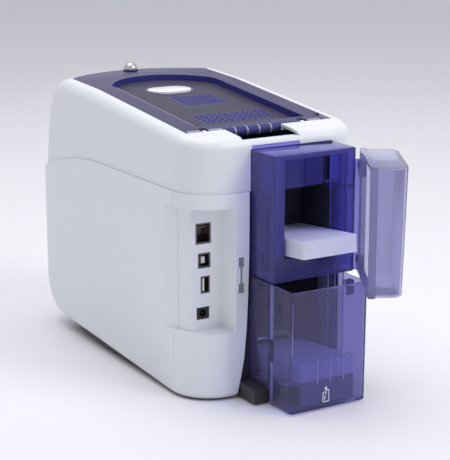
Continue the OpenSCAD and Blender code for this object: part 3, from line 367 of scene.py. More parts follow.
white_casing = surface("white_casing", (0.80, 0.81, 0.85), 0.36, grain=0.05, cloud=0.02)
dark_plastic = surface("dark_plastic", (0.022, 0.021, 0.035), 0.5, grain=0.15)
tray_grey = surface("tray_grey", (0.035, 0.035, 0.036), 0.45, grain=0.12)
clip_grey = surface("clip_grey", (0.25, 0.25, 0.28), 0.45, grain=0.12)
violet_clear = clear("violet_clear", (0.28, 0.27, 0.70), (0.62, 0.60, 0.88), through=0.82, ior=1.22)
# painted shade: dark violet for edges, rims and gaps of the clear parts that look dark
violet_painted_shade = surface("violet_painted_shade", (0.035, 0.03, 0.17), 0.25, grain=0.02)
hopper_clear = clear("hopper_clear", (0.42, 0.40, 0.68), (0.76, 0.75, 0.92), through=0.90, ior=1.22)
# painted shade: opaque darker violet for ribs and edges of the clear hopper door that look dark
hopper_painted_shade = surface("hopper_painted_shade", (0.36, 0.34, 0.56), 0.25, grain=0.02)
door_clear = clear("door_clear", (0.58, 0.56, 0.76), (0.86, 0.85, 0.95), through=0.86, ior=1.25)
door_rim = clear("door_rim", (0.46, 0.44, 0.66), (0.8, 0.78, 0.92), through=0.7, ior=1.25)
lid_violet = surface("lid_violet", (0.064, 0.056, 0.130), 0.3, grain=0.03, Specular_IOR_Level=0.05)
lid_field = surface("lid_field", (0.066, 0.058, 0.092), 0.34, grain=0.05, Specular_IOR_Level=0.03)
recess_violet = surface("recess_violet", (0.045, 0.038, 0.22), 0.3, grain=0.03, Specular_IOR_Level=0.1)
vent_violet = surface("vent_violet", (0.05, 0.048, 0.20), 0.4, grain=0.05, Specular_IOR_Level=0.15)
# pale violet of the barrel's rings, also used as a painted highlight along the lid's sunk field edge
barrel_pale_and_highlight = surface("barrel_pale_and_highlight", (0.30, 0.29, 0.42), 0.3, grain=0.03)
rubber = surface("rubber", (0.02, 0.02, 0.022), 0.7, grain=0.3, grain_scale=2500)
card_plastic = surface("card_plastic", (0.72, 0.74, 0.84), 0.3, grain=0.02, cloud=0.03)
printed_card = surface("printed_card", (0.50, 0.51, 0.78), 0.3, grain=0.02, cloud=0.03)
button_white = surface("button_white", (0.86, 0.86, 0.9), 0.3, grain=0.03)
sheet_steel = metal("sheet_steel", (0.55, 0.56, 0.57), 0.38)
bright_steel = metal("bright_steel", (0.62, 0.63, 0.65), 0.22)
socket_metal = metal("socket_metal", (0.20, 0.18, 0.19), 0.35)
gold = metal("contact_gold", (0.75, 0.52, 0.18), 0.25, lines=0.02)
chrome = metal("chrome", (0.42, 0.42, 0.45), 0.05, lines=0.0)
board_green = surface("board_green", (0.02, 0.12, 0.05), 0.35)
black_parts = surface("black_parts", (0.015, 0.015, 0.017), 0.42)
gate_red = surface("gate_red", (0.35, 0.03, 0.025), 0.4)
platform_plastic = surface("platform_plastic", (0.17, 0.16, 0.28), 0.4)
head_aluminium = metal("head_aluminium", (0.65, 0.65, 0.66), 0.3)
frame_white = surface("frame_white", (0.66, 0.66, 0.63), 0.45)
ribbon_film = surface("ribbon_film", (0.4, 0.1, 0.22), 0.15)
cleaning_blue = surface("cleaning_blue", (0.04, 0.16, 0.42), 0.5)

node_finishes = {
    dark_plastic: ["end_frame", "feeder_shelf", "card_chute", "lid_catch", "card_guide", "ribbon_frame",
                   "print_head_bracket"],
    clip_grey: ["panel_clip"],
    tray_grey: ["base_tray"],
    rubber: ["feet", "feed_roller", "platen_roller", "transport_roller", "eject_roller", "drive_belt",
             "eject_belt"],
    sheet_steel: ["left_side_plate", "right_side_plate", "board_standoffs"],
    bright_steel: ["tie_bars", "feeder_door_pins", "hopper_door_pins", "lid_pins", "cover_screws",
                   "feed_shaft", "platen_shaft", "transport_shaft", "eject_shaft", "motor_pulley"],
    board_green: ["main_board"],
    black_parts: ["board_chips", "power_socket", "drive_motor"],
    socket_metal: ["ethernet_socket", "usb_b_socket", "usb_a_socket"],
    gate_red: ["thickness_gate"],
    platform_plastic: ["hopper_platform"],
    head_aluminium: ["print_head"],
    frame_white: ["supply_spool", "takeup_spool", "pinch_roller"],
    ribbon_film: ["ribbon_web"],
    cleaning_blue: ["cleaning_roller"],
}
for material, names in node_finishes.items():
    for name in names:
        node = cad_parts[name]
        for k in range(len(node.material_slots)):
            node.material_slots[k].material = material


# ---------------------------------------------------------------- the form of the casing
def bow(u):
    return FAR_BOW * (1 - u * u)


def far_path(u, a):
    return (FAR_Y + bow(u) - EDGE_R
            - (TOP_LEAN - (TOP_BOW - FAR_BOW) * (1 - u * u) - EDGE_R) * (1 - math.cos(a)))


def heel_path(u, a):
    return FAR_Y + bow(u) - EDGE_R - (HEEL_R - EDGE_R) * (1 - math.cos(a))


def ball_points(centre, r, around=28, up=14):
    turn = np.linspace(0, 2 * np.pi, around, endpoint=False)
    rise = np.linspace(-np.pi / 2, np.pi / 2, up + 1)
    t, e = np.meshgrid(turn, rise)
    return np.stack([centre[0] + r * np.cos(e) * np.cos(t), centre[1] + r * np.cos(e) * np.sin(t),
                     centre[2] + r * np.sin(e)], -1).reshape(-1, 3)


def form(inset, low=BODY_LOW):
    """The outer form of the casing, drawn in by inset, as one smooth closed mesh."""
    r = EDGE_R - inset
    cx, sx = BODY_W / 2 - CORNER_R, BODY_W / 2 - EDGE_R
    sink = EDGE_R - STEP
    tilt = np.array(Matrix.Rotation(SLOPE, 3, "X"))
    cloud = []
    turns = np.linspace(0, 2 * np.pi, 72, endpoint=False)
    rises = np.linspace(-np.pi / 2, np.pi / 2, 17)
    t, e = np.meshgrid(turns, rises)
    reach = CORNER_R - EDGE_R + r * np.cos(e)
    ring = np.stack([reach * np.cos(t), reach * np.sin(t), r * np.sin(e)], -1).reshape(-1, 3) @ tilt.T
    disc = np.stack([np.cos(turns), np.sin(turns), np.zeros_like(turns)], -1)
    for side in (-1, 1):
        near = np.array([side * cx, NEAR_Y + CORNER_R, roof(NEAR_Y + CORNER_R) - sink / math.cos(SLOPE)])
        cloud.append(ring + near)
        foot = np.array([side * cx, NEAR_Y + CORNER_R, low])
        cloud.append(disc * (CORNER_R - inset) + foot + (0, 0, 4))
        cloud.append(disc * (CORNER_R - inset - 3) + foot)
        cloud.append(ball_points((side * sx, MID_Y, MID_H - sink), r))
    for u in np.linspace(-1, 1, 13):
        for a in np.linspace(0, math.pi / 2, 11):
            z = LEAN_LOW + (FAR_H - sink - LEAN_LOW) * math.sin(a)
            cloud.append(ball_points((u * sx, far_path(u, a), z), r))
        for a in np.linspace(0, math.pi / 2, 7):
            z = HEEL_H + EDGE_R + (HEEL_R - EDGE_R) * (1 - math.sin(a))
            cloud.append(ball_points((u * sx, heel_path(u, a), z), r))
    cloud.append(np.array([(x, y, low) for x in (-sx, sx) for y in (-40.0, WAVE_Y)]))
    work = bmesh.new()
    for p in np.round(np.concatenate(cloud), 4):
        work.verts.new(p * MM)
    made = bmesh.ops.convex_hull(work, input=work.verts)
    spare = [g for g in made["geom_interior"] if isinstance(g, bmesh.types.BMVert)]
    bmesh.ops.delete(work, geom=spare, context="VERTS")
    bmesh.ops.remove_doubles(work, verts=work.verts, dist=2e-5)
    bmesh.ops.recalc_face_normals(work, faces=work.faces)
    data = bpy.data.meshes.new("form")
    work.to_mesh(data)
    work.free()
    whole = bpy.data.objects.new("form", data)
    bpy.context.scene.collection.objects.link(whole)
    return whole


def above_wave(rise):
    top = [(NEAR_Y - 20, WAVE_H + rise)]
    for k in range(36):
        y = WAVE_Y + (FAR_Y + 30 - WAVE_Y) * k / 35
        top.append((y, WAVE_H + rise - WAVE_R + math.sqrt(WAVE_R ** 2 - (y - WAVE_Y) ** 2)))
    return prism("above_wave", top + [(FAR_Y + 30, 300), (NEAR_Y - 20, 300)], -120, 120, "x")


def arched(half, near, side, apex, grow):
    """Plan outline with straight sides and an arched far end."""
    rise = apex - side
    r = (half * half + rise * rise) / (2 * rise)
    reach = math.degrees(math.asin(half / r))
    return ([(-half - grow, near), (half + grow, near)]
            + arc(0, apex - r, r + grow, 90 - reach, 90 + reach, 48))


def lid_outline(grow, near):
    return arched(LID_W / 2, near, 105.0, 134.0, grow)


def sink_outline(grow, near):
    return arched(SINK_W / 2, near, 58.0, 92.0, grow)


def pocket_outline(t):
    left = -BODY_W / 2
    return [(left - 12, NEAR_Y + 47 + 1.2 * t), (left + 0.8 * t, NEAR_Y + 47 + 1.2 * t),
            (left + 10 + 0.8 * t, PORT_Y + t), (-48 + t, PORT_Y + t), (-46 + t, NEAR_Y),
            (-46 + t, NEAR_Y - 12), (left - 12, NEAR_Y - 12)]


def pocket(t):
    return prism("pocket", pocket_outline(t), POCKET_LOW - t, POCKET_HIGH + t)


PORTS = {"network": (-65.9, 143, 15, 18), "usb_b": (-65, 119.7, 12.2, 13.2),
         "usb_a": (-64.1, 98.6, 9, 15), "power": (-66.4, 74, 12.4, 10.6)}


def lower_panels():
    outer, inner = form(0), form(WALL, -20)
    wave = above_wave(0)
    plain = combine(copy_of(outer, "plain"), [inner, wave], keep=True)
    ring = combine(copy_of(outer, "ring"), [inner], keep=True)
    pocket_wall = combine(pocket(WALL), [outer], "INTERSECT", keep=True)
    pocketed = combine(ring, [pocket_wall], "UNION")
    pocketed = combine(pocketed, [pocket(0), wave], keep=False)
    left = combine(copy_of(pocketed, "left_side_panel_skin"),
                   [box("cut", -100, -FAR_SEAM_X - SEAM / 2, JOINT_Y + SEAM / 2, 200, -5, 200)], "INTERSECT")
    edge = [(-100, -5), (END_X0 - 12, -5), (END_X0 - 12, 0), (END_X0 - 9, 14), (END_X0 - 5, 34),
            (END_X0 - 2.6, 60), (END_X0 - 1.2, 88), (END_X0 - 0.3, 120), (END_X0, 150), (END_X0, 200),
            (-100, 200)]
    corner = combine(pocketed, [prism("edge", edge, NEAR_Y - 20, JOINT_Y - SEAM / 2, "y")], "INTERSECT")
    corner.name = "port_corner_skin"
    holes = [box("hole", x - w / 2, x + w / 2, PORT_Y - 1, PORT_Y + WALL + 1, z - h / 2, z + h / 2)
             for x, z, w, h in PORTS.values()]
    for x0, x1, z0, z1 in CLIP_HOLE:
        holes.append(box("hole", x0, x1, NEAR_Y - 1, NEAR_Y + WALL + 1, z0, z1))
    combine(corner, holes)
    keep = [(FAR_SEAM_X + SEAM / 2, 0), (END_X1, 0), (END_X1, -200), (100, -200), (100, 200),
            (FAR_SEAM_X + SEAM / 2, 200)]
    right = combine(copy_of(plain, "right_side_panel_skin"), [prism("keep", keep, -5, 200)], "INTERSECT")
    half = FAR_SEAM_X - SEAM / 2
    far = combine(plain, [box("c", -half, half, 60, 200, -5, 200)], "INTERSECT")
    far.name = "far_end_skin"
    drop(outer, inner)
    for piece, node in ((left, "left_side_panel"), (corner, "port_corner_panel"), (right, "right_side_panel"),
                        (far, "far_end_panel")):
        finish(smooth(piece, SHARP), white_casing, "printer", "white_casing", node)


def casing_top():
    skin = form(STEP)
    combine(skin, [above_wave(-LAP)], "INTERSECT")
    inside = combine(form(STEP + WALL, -20),
                     [prism("rim", lid_outline(LID_GAP + RIM_T, CASING_NEAR - RIM_T), *ROOF_CUT)])
    rebate = combine(prism("bed", lid_outline(LID_GAP, CASING_NEAR), *ROOF_CUT), [form(STEP + SEAT_D, -20)])
    # the seat under the lid's edge stops beside the ball-shaped button
    room = BALL_R + 15
    seat_end = combine(prism("seat_end", lid_outline(LID_GAP - 0.05, CASING_NEAR), *ROOF_CUT),
                       [box("room", -room, room, BALL_Y - room, BALL_Y + 100, 150, 320)], "INTERSECT")
    half = LID_W / 2 + LID_GAP
    combine(skin, [
        inside, form(STEP + SEAT_D + RIM_T, -20), rebate, seat_end,
        prism("mouth", lid_outline(-SEAT_IN, CASING_NEAR), *ROOF_CUT),
        box("hinge_bay", -half, half, CASING_NEAR, HINGE_Y + 12, *ROOF_CUT),
        box("slot", NOTCH_X0, NOTCH_X1, NEAR_Y + NOTCH_D - 3, CASING_NEAR + 1, *ROOF_CUT),
        box("bridge_cut", NOTCH_X0, NOTCH_X1, NEAR_Y - 10, CASING_NEAR + 1, NEAR_H - BRIDGE_DROP, 300),
        box("feeder_cut", FEEDER_X0 - SEAM, FEEDER_X1 + SEAM, NEAR_Y - 10, NEAR_Y + 20,
            150, FEEDER_TOP + SEAM),
        box("end_cut", END_X0, END_X1, NEAR_Y - 10, NEAR_Y + 20, 150, WAVE_H),
    ])
    bridge = box("bridge", NOTCH_X0 - 1, NOTCH_X1 + 1, NEAR_Y + STEP + 3.5, NEAR_Y + NOTCH_D - 3,
                 NEAR_H - BRIDGE_DROP - WALL, NEAR_H - BRIDGE_DROP)
    combine(skin, [bridge], "UNION")
    lugs = []
    for x in LUG_X:
        x0, x1 = x - LUG_T / 2, x + LUG_T / 2
        lugs.append(box("lug", x0, x1, CASING_NEAR - RIM_T, HINGE_Y, HINGE_Z - LUG_R, HINGE_Z + 2.5))
        lugs.append(rod("lug", LUG_R, (x0, HINGE_Y, HINGE_Z), (x1, HINGE_Y, HINGE_Z)))
    skin = join("upper_casing_skin", [skin] + lugs)
    finish(smooth(skin, SHARP), white_casing, "printer", "white_casing", "upper_casing")


def oval_outline(grow):
    r, shift = OVAL_W / 2 + grow, (OVAL_L - OVAL_W) / 2
    return arc(shift, OVAL_Y, r, -90, 90, 24) + arc(-shift, OVAL_Y, r, 90, 270, 24)


RIDGE_END = far_path(0, math.pi / 2)


def ridge(y):
    return MID_H + (FAR_H - MID_H) * (y - MID_Y) / (RIDGE_END - MID_Y)


def clear_lid():
    skin = combine(form(STEP), [prism("plan", lid_outline(0, HINGE_Y + 0.01), 205, 300)], "INTERSECT")
    skin.name = "lid_skin"
    hollow = combine(form(STEP + LID_T, -20), [
        prism("sink_wall", sink_outline(2.1, HINGE_Y + 8), *LID_CUT),
        rod("boss", BALL_R + 3, (0, BALL_Y, 190), (0, BALL_Y, 300))])
    field = combine(prism("field", sink_outline(0, SINK_NEAR), *LID_CUT), [form(STEP + SINK_D, -20)])
    cuts = [hollow, form(STEP + SINK_D + LID_T, -20), field]
    for x in LUG_X:
        cuts.append(box("gap", x - LUG_ROOM, x + LUG_ROOM, HINGE_Y - 9, HINGE_Y + BARREL_R + 1, 150, 300))
    cuts.append(box("gap", 66, 100, HINGE_Y - 9, HINGE_Y + 14, 150, 300))
    cuts.append(prism("oval", oval_outline(0.5), *LID_CUT))
    cuts.append(rod("dish", BALL_R + 1, (0, BALL_Y, ridge(BALL_Y) - BALL_SINK), (0, BALL_Y, 300)))
    cuts.append(rod("stem", 3.05, (0, BALL_Y, 190), (0, BALL_Y, 300), 32))
    combine(skin, cuts)
    # the sunk field, its wall and the vents take finishes of their own; a pale strip of painted highlight and
    # a dark ring of painted shade round the button are split off as well
    def part(source, name, cutters, material):
        """Splits a named part off the source where the cutters are; cutters makes them afresh each time."""
        piece = combine(copy_of(source, name), [cutters()], "INTERSECT")
        combine(source, [cutters()])
        return finish(smooth(piece, SHARP), material, "lid", "lid_violet") if material else piece

    highlight_x = -SINK_W / 2 - SINK_EDGE
    areas = ((-16.5, 28.5, -15.5, 20.5), (-31, 42.5, -74.5, -45.5))
    field = part(skin, "lid_field", lambda: prism(
        "part", sink_outline(-SINK_EDGE, SINK_NEAR + SINK_EDGE), *LID_CUT), None)
    part(skin, "lid_recess_wall", lambda: prism(
        "part", sink_outline(SINK_EDGE, SINK_NEAR - SINK_EDGE), *LID_CUT), recess_violet)
    # painted highlight: a thin pale strip along the sunk field's left edge
    part(skin, "lid_painted_highlight", lambda: box("part", highlight_x - 0.6, highlight_x, -96, 50, *LID_CUT), barrel_pale_and_highlight)
    finish(smooth(skin, SHARP), lid_violet, "lid", "lid_violet", "lid")
    # painted shade: a dark ring round the button's gap
    part(field, "lid_button_shade_ring", lambda: prism("part", oval_outline(1.5), *LID_CUT), violet_painted_shade)
    vents = part(field, "lid_vents",
                 lambda: join("areas", [box("area", *area, *LID_CUT) for area in areas]), None)
    finish(smooth(field, SHARP), lid_field, "lid", "lid_violet")
    # near the button a fine mesh, near the hinge rows of wider slots
    slots = []
    for rows, cols, x0, y0, row_pitch, col_pitch, shift, w, d in (
            (14, 12, -14.5, -13.5, 2.4, 3.5, 0.9, 2.3, 1.4), (8, 12, -29.8, -73.2, 3.4, 6.0, 1.0, 4.4, 1.7)):
        for row in range(rows):
            y = y0 + row * row_pitch
            for col in range(cols):
                x = x0 + col * col_pitch + (shift if row % 2 else 0)
                slots.append(box("s", x, x + w, y, y + d, *LID_CUT))
    combine(vents, [join("slots", slots)])
    finish(smooth(vents, SHARP), vent_violet, "lid", "lid_violet")
    bars = []
    for x0, x1 in ((-50, 41), (-71, -57), (48, 66)):
        bars.append(rod("bar", BARREL_R, (x0, HINGE_Y, HINGE_Z), (x1, HINGE_Y, HINGE_Z)))
    barrel = join("lid_barrel", bars)
    finish(smooth(barrel, SHARP), vent_violet, "lid", "lid_violet")
    rings = [rod("ring", BARREL_R + 0.15, (x, HINGE_Y, HINGE_Z), (x + w, HINGE_Y, HINGE_Z))
             for x, w in ((-70.5, 13), (-49.6, 13), (-25.2, 1.6), (-13.4, 1.6), (-1.6, 1.6), (10.2, 1.6),
                          (50, 12))]
    finish(smooth(join("lid_barrel_rings", rings), SHARP), barrel_pale_and_highlight, "lid", "lid_violet")


def lid_buttons():
    top = roof(OVAL_Y) - SINK_D / math.cos(SLOPE) + 0.8
    cap = combine(prism("lid_button_cap", oval_outline(0), top - 7.2, top),
                  [prism("h", oval_outline(-1.8), top - 8, top - 2)])
    flange = combine(prism("flange", oval_outline(3), top - 7.2, top - 5.8),
                     [prism("h", oval_outline(-1.8), top - 8, top - 4)])
    finger = box("finger", -4, 4, OVAL_Y + OVAL_W / 2 - 1.8, OVAL_Y + OVAL_W / 2 - 0.2, top - 20, top - 6)
    soften(cap, 0.9, 4, 50)
    cap = join("lid_button_cap", [cap, flange, finger])
    finish(smooth(cap, 40), button_white, "release_button", "button_white", "lid_button")
    z = ridge(BALL_Y)
    deep = SINK_D + LID_T
    work = bmesh.new()
    bmesh.ops.create_uvsphere(work, u_segments=48, v_segments=32, radius=BALL_R * MM)
    bmesh.ops.translate(work, verts=work.verts, vec=(0, BALL_Y * MM, (z + BALL_RISE) * MM))
    data = bpy.data.meshes.new("ball")
    work.to_mesh(data)
    work.free()
    ball = bpy.data.objects.new("ball", data)
    bpy.context.scene.collection.objects.link(ball)
    stem = rod("stem", 3, (0, BALL_Y, z - deep - 1), (0, BALL_Y, z), 32)
    foot = rod("foot", 5, (0, BALL_Y, z - deep - 2.2), (0, BALL_Y, z - deep - 0.4), 32)
    button = join("control_button_ball", [ball, stem, foot])
    finish(smooth(button, 40), chrome, "ball_button", "chrome", "control_button")


# ---------------------------------------------------------------- feeder and hopper
def feeder_box():
    x0, x1, y0, y1 = FEEDER_X0, FEEDER_X1, FEEDER_Y, NEAR_Y + STEP + WALL + 0.3
    shell = soften(box("feeder_shell", x0, x1, y0, y1, FEEDER_LOW, FEEDER_TOP), 1.2, 3)
    t = CLEAR_T
    combine(shell, [
        box("in", x0 + t, x1 - t, y0 + t, y1 + 5, FEEDER_LOW + t, FEEDER_TOP - t),
        prism("mouth", rounded(x0 + 10.5, x1 - 9.5, MOUTH_LOW, FEEDER_TOP - 4, 1.5),
              y0 - 1, y0 + t + 1, "y")])
    parts = [shell]
    for x in (-20.0, 38.3):
        parts.append(box("guide", x, x + 1.7, y0 + t, NEAR_Y - 12.8, MOUTH_LOW - 3, FEEDER_TOP - t))
    parts.append(box("wall", -20, 40, NEAR_Y, NEAR_Y + t, 177.3, FEEDER_TOP - t))
    # ribs on the inside, seen through the walls
    for x in (-4.0, 21.0):
        parts.append(box("rib", x, x + 1.2, NEAR_Y - 0.9, NEAR_Y, 177.3, FEEDER_TOP - t))
    parts.append(box("rib", x1 - t - 9, x1 - t, y0 + t + 6, y0 + t + 7.2, 112, FEEDER_TOP - t))
    parts.append(box("shelf_rib", 40, x1 - t, y0 + t, NEAR_Y, 179.5, 181))
    parts.append(box("rim", x0 + 1, NOTCH_X1 - 3, NEAR_Y + 1.5, NEAR_Y + 3.2, FEEDER_TOP, FEEDER_TOP + 3.4))
    # latch catch beside the mouth
    parts.append(soften(box("catch", x0 + 2, x0 + 6.5, y0 - 0.9, y0, 148, 156), 0.6, 2))
    parts.append(soften(box("catch", x0 + 2.6, x0 + 9, y0 - 0.6, y0, 143, 147), 0.5, 2))
    # hinge
    parts.append(box("strip", x1, DOOR_X + PIN_BOSS_R, y0, y0 + t, DOOR_Z, DOOR_Z + 95))
    for z in (195.1, 114.1):
        parts.append(rod("ear", PIN_BOSS_R, (DOOR_X, DOOR_Y, z), (DOOR_X, DOOR_Y, z + 6), 32))
        parts.append(box("ear", DOOR_X - 1, DOOR_X + PIN_BOSS_R, DOOR_Y, y0 + t, z, z + 6))
    shell = join("feeder_shell", parts)
    finish(smooth(shell, 30), violet_clear, "printer", "violet_clear", "feeder_housing")
    # painted shade: thin dark bars in the corners and rims, which look dark where the light runs along inside
    # the wall
    edges = edge_shade_bars((x0, x1), (y0, y1), (FEEDER_LOW, FEEDER_TOP), 0.55, 1.0)
    a, b, low, high, c, d = x0 + 10.5, x1 - 9.5, MOUTH_LOW, FEEDER_TOP - 4, y0 + 0.5, y0 + t - 0.5
    edges += [box("edge", a - 1.1, a - 0.3, c, d, low, high), box("edge", b + 0.3, b + 1.1, c, d, low, high),
              box("edge", a, b, c, d, high + 0.3, high + 1.1), box("edge", a, b, c, d, low - 1.1, low - 0.3)]
    finish(join("feeder_painted_edge_shade", edges), violet_painted_shade, "printer", "violet_clear")


def edge_shade_bars(xs, ys, zs, deep, thick):
    """Twelve thin bars buried in the edges of a box, which carry painted shade along them."""
    def ends(pair):
        return (pair[0] + deep, pair[0] + deep + thick), (pair[1] - deep - thick, pair[1] - deep)
    bars = []
    for a in ends(xs):
        bars += [box("edge", *a, *b, zs[0] + deep, zs[1] - deep) for b in ends(ys)]
        bars += [box("edge", *a, ys[0] + deep, ys[1] - deep, *c) for c in ends(zs)]
    for b in ends(ys):
        bars += [box("edge", xs[0] + deep, xs[1] - deep, *b, *c) for c in ends(zs)]
    return bars


def door_shell(name, w, d, h, r, draft, gap, t, rear):
    """An open-backed box door drawn closed with its hinge line at the origin."""
    def solid(x0, x1, back, depth, z0, z1, radius):
        outline = ([(-x0, back)] + [(-x1, back)]
                   + arc(-x1 + radius, -depth + radius, radius, 180, 270, 10)
                   + arc(-x0 - radius, -depth + radius, radius, 270, 360, 10))
        whole = prism(name, outline, z0, z1)
        for corner in whole.data.vertices:
            if corner.co.y < -0.3 * depth * MM:
                share = (z1 - corner.co.z / MM) / (z1 - z0)
                corner.co.y += draft * share * MM
        return whole
    shell = soften(solid(gap, w, rear, d, 0, h, r), 0.9, 3, 50)
    return combine(shell, [solid(gap + t, w - t, rear + 3, d - t, t, h - t, max(r - t, 1.0))])


def knuckles(gap, heights):
    parts = []
    for z in heights:
        parts.append(rod("knuckle", PIN_BOSS_R, (0, 0, z - 6), (0, 0, z), 32))
        parts.append(box("arm", -gap - 0.5, 0, -PIN_BOSS_R, 0, z - 6, z))
    return parts


def feeder_door():
    high, draft = 105.0, 2.5
    shell = door_shell("feeder_door_shell", 85, 28, high, 10, draft, 4.3, 2.0, 2.7)
    rim = combine(box("rim", -85.6, -3.7, -3.3, 2.7, -0.6, high + 0.6),
                  [box("h", -83, -6.3, -9, 9, 2, high - 2)])
    soften(rim, 0.4, 2, 50)
    opened = (Matrix.Translation((DOOR_X * MM, DOOR_Y * MM, DOOR_Z * MM))
              @ Matrix.Rotation(math.radians(DOOR_OPEN), 4, "Z"))
    whole = join("feeder_door_shell", [shell] + knuckles(4.3, (87.0, 6.0)))
    whole.data.transform(opened)
    finish(smooth(whole, 30), door_clear, "feeder_door", "pale_violet_clear", "feeder_door")
    rim.name = "feeder_door_rim"
    rim.data.transform(opened)
    finish(smooth(rim, 30), door_rim, "feeder_door", "pale_violet_clear")
    # painted shade: dark bars on the upright ends of the front wall, where they look dark
    core = join("feeder_door_painted_shade", [box("bar", -73, -72.1, -27.4, -26.7, 1, high - 1),
                                     box("bar", -15.9, -15, -27.4, -26.7, 1, high - 1)])
    for corner in core.data.vertices:
        corner.co.y += draft * (high - corner.co.z / MM) / high * MM
    core.data.transform(opened)
    finish(core, violet_painted_shade, "feeder_door", "pale_violet_clear")


def hopper():
    x0, x1, split, floor, top, t = -31.0, 45.0, NEAR_Y - 28, 14.0, 105.5, CLEAR_T
    back_y = NEAR_Y + STEP + WALL + 0.3
    rear = combine(box("hopper_back_shell", x0, x1, split, back_y, floor, top),
                   [box("in", x0 + t, x1 - t, split - 1, back_y + 1, floor + t, top + 1),
                    box("in", x0 - 1, x0 + 1, NEAR_Y + 2, back_y + 1, 0, 200)])
    soften(rear, 0.3, 1, 50)
    parts = [rear]
    hx, hy = 49.5, split - 3.3
    for z in (91.9, 26.4):
        parts.append(rod("ear", PIN_BOSS_R, (hx, hy, z), (hx, hy, z + 6), 32))
        parts.append(box("ear", hx - 1, hx + PIN_BOSS_R, hy, split + t, z, z + 6))
        parts.append(box("ear", x1 - 0.5, hx - 1, split, split + t, z, z + 6))
    for y in (split + 9, split + 19):
        parts.append(box("rib", x1 - t - 1.2, x1 - t, y, y + 1.4, floor + t, top - 4))
    parts.append(box("rib", x0 + t, x0 + t + 0.9, split + 2, split + 3.4, floor + t, top))
    rear = join("hopper_back_shell", parts)
    finish(smooth(rear, 30), hopper_clear, "printer", "pale_violet_clear", "hopper_body")

    high = top - 2.0
    shell = door_shell("hopper_door_shell", 80.5, 30.7, high, 4, 1.0, 4.5, t, 3.0)
    combine(shell, [prism("open_top", [(-7, 9), (-78.3, 9), (-78.3, -28.4), (-7, -28.4)],
                          high - 8, high + 8)])
    # sunk latch on the free edge
    latch = [soften(box("latch", -81.3, -80.5, -2.8, 2.8, 38, 57), 0.35, 2),
             soften(box("latch", -81.6, -80.5, -1.6, 1.2, 41, 54), 0.4, 2)]
    # raised picture of a card with an arrow leaving it
    sign = []
    cx, cz, face = -45.5, 5.5, -30.9
    for a0, a1, b0, b1 in ((-3.2, 3.2, 0, 0.6), (-3.2, -0.6, 8.4, 9), (-3.2, -2.6, 0, 9), (2.6, 3.2, 0, 10.5),
                           (0.6, 3.2, 9.9, 10.5), (-1.4, -0.8, 2.4, 5.6), (-0.3, 0.3, 6.4, 12.0)):
        sign.append(box("line", cx + a0, cx + a1, face + 0.9, face + 1.35, cz + b0, cz + b1))
    sign.append(prism("head", [(cx - 1.6, cz + 11.2), (cx + 1.6, cz + 11.2), (cx, cz + 13.6)],
                      face + 0.9, face + 1.35, "y"))
    whole = join("hopper_door_shell", [shell] + latch + knuckles(4.5, (89.5, 24.0)))
    hung = Matrix.Translation((hx * MM, hy * MM, 0.002))
    whole.data.transform(hung)
    finish(smooth(whole, 30), hopper_clear, "hopper_door", "pale_violet_clear", "hopper_door")
    # the ribs inside the front wall are real; they and the bars by the free edge get an opaque darker tone of
    # painted shade, where the clear door looks dark
    ribs = [box("rib", x, x + 1.3, -28.4, -27.2, 22, 44) for x in (-54.0, -41.0, -28.0)]
    ribs += [box("edge", -79.9, -79.1, -2.0, 2.4, 4, high - 1),
             box("edge", -79.2, -78.6, -29.4, -28.8, 50, high - 9)]
    marks = join("hopper_door_ribs_and_shade", ribs)
    marks.data.transform(hung)
    finish(marks, hopper_painted_shade, "hopper_door", "pale_violet_clear")
    mark = join("hopper_door_mark", sign)
    mark.data.transform(hung)
    finish(mark, button_white, "hopper_door", "button_white")


def card_stack(name, y, z, material, node, slot, seed, marks=()):
    """Single cards with round corners, each a hair out of line with the next."""
    chance = random.Random(seed)
    cards = []
    for k in range(CARD_N):
        dx, dy = chance.uniform(-0.12, 0.12), chance.uniform(-0.15, 0.0)
        outline = rounded(CARD_X - CARD_W / 2 + dx, CARD_X + CARD_W / 2 + dx, 0.15 + dy, CARD_L + dy, 3.18, 8)
        card = prism("card", outline, k * CARD_T + 0.01, (k + 1) * CARD_T - 0.04)
        cards.append(soften(card, 0.1, 1, 60))
    pile = join(name, cards)
    pile.data.transform(Matrix.Translation((0, y * MM, z * MM))
                        @ Matrix.Rotation(math.radians(-CARD_TILT), 4, "X"))
    finish(smooth(pile, 40), material, "printer", slot, node)
    return pile


def socket_contacts():
    """Gold contacts inside the network and USB sockets, and the pale cores of the USB sockets."""
    pins = []
    x, z, _, _ = PORTS["network"]
    for k in range(8):
        px = x - 3.6 + k * 1.02
        pins.append(box("pin", px, px + 0.45, PORT_Y + 3, PORT_Y + 12, z + 5.0, z + 5.4))
    x, z, _, _ = PORTS["usb_a"]
    for k in range(4):
        pz = z - 4.2 + k * 2.4
        pins.append(box("pin", x - 0.4, x - 0.25, PORT_Y + 2, PORT_Y + 9, pz, pz + 1.1))
    finish(join("socket_contacts", pins), gold, "printer", "socket_metal")
    tongue = soften(box("usb_a_tongue", x - 2.4, x - 0.45, PORT_Y + 0.8, PORT_Y + 10.2,
                        z - 5.6, z + 5.6), 0.2, 2)
    finish(smooth(tongue), frame_white, "printer", "frame_white")
    x, z, _, _ = PORTS["usb_b"]
    core = soften(box("usb_b_core", x - 1.9, x + 1.9, PORT_Y + 2.2, PORT_Y + 12, z - 2.9, z + 2.9), 0.3, 2)
    finish(smooth(core), frame_white, "printer", "frame_white")


lower_panels()
casing_top()
clear_lid()
lid_buttons()
feeder_box()
feeder_door()
hopper()
card_stack("feeder_cards", NEAR_Y - 57, 131.0, card_plastic, "input_cards", "card_plastic", 3)
card_stack("printed_cards", NEAR_Y - 54.5, 25.6, printed_card, "output_cards", "card_plastic", 5)
socket_contacts()

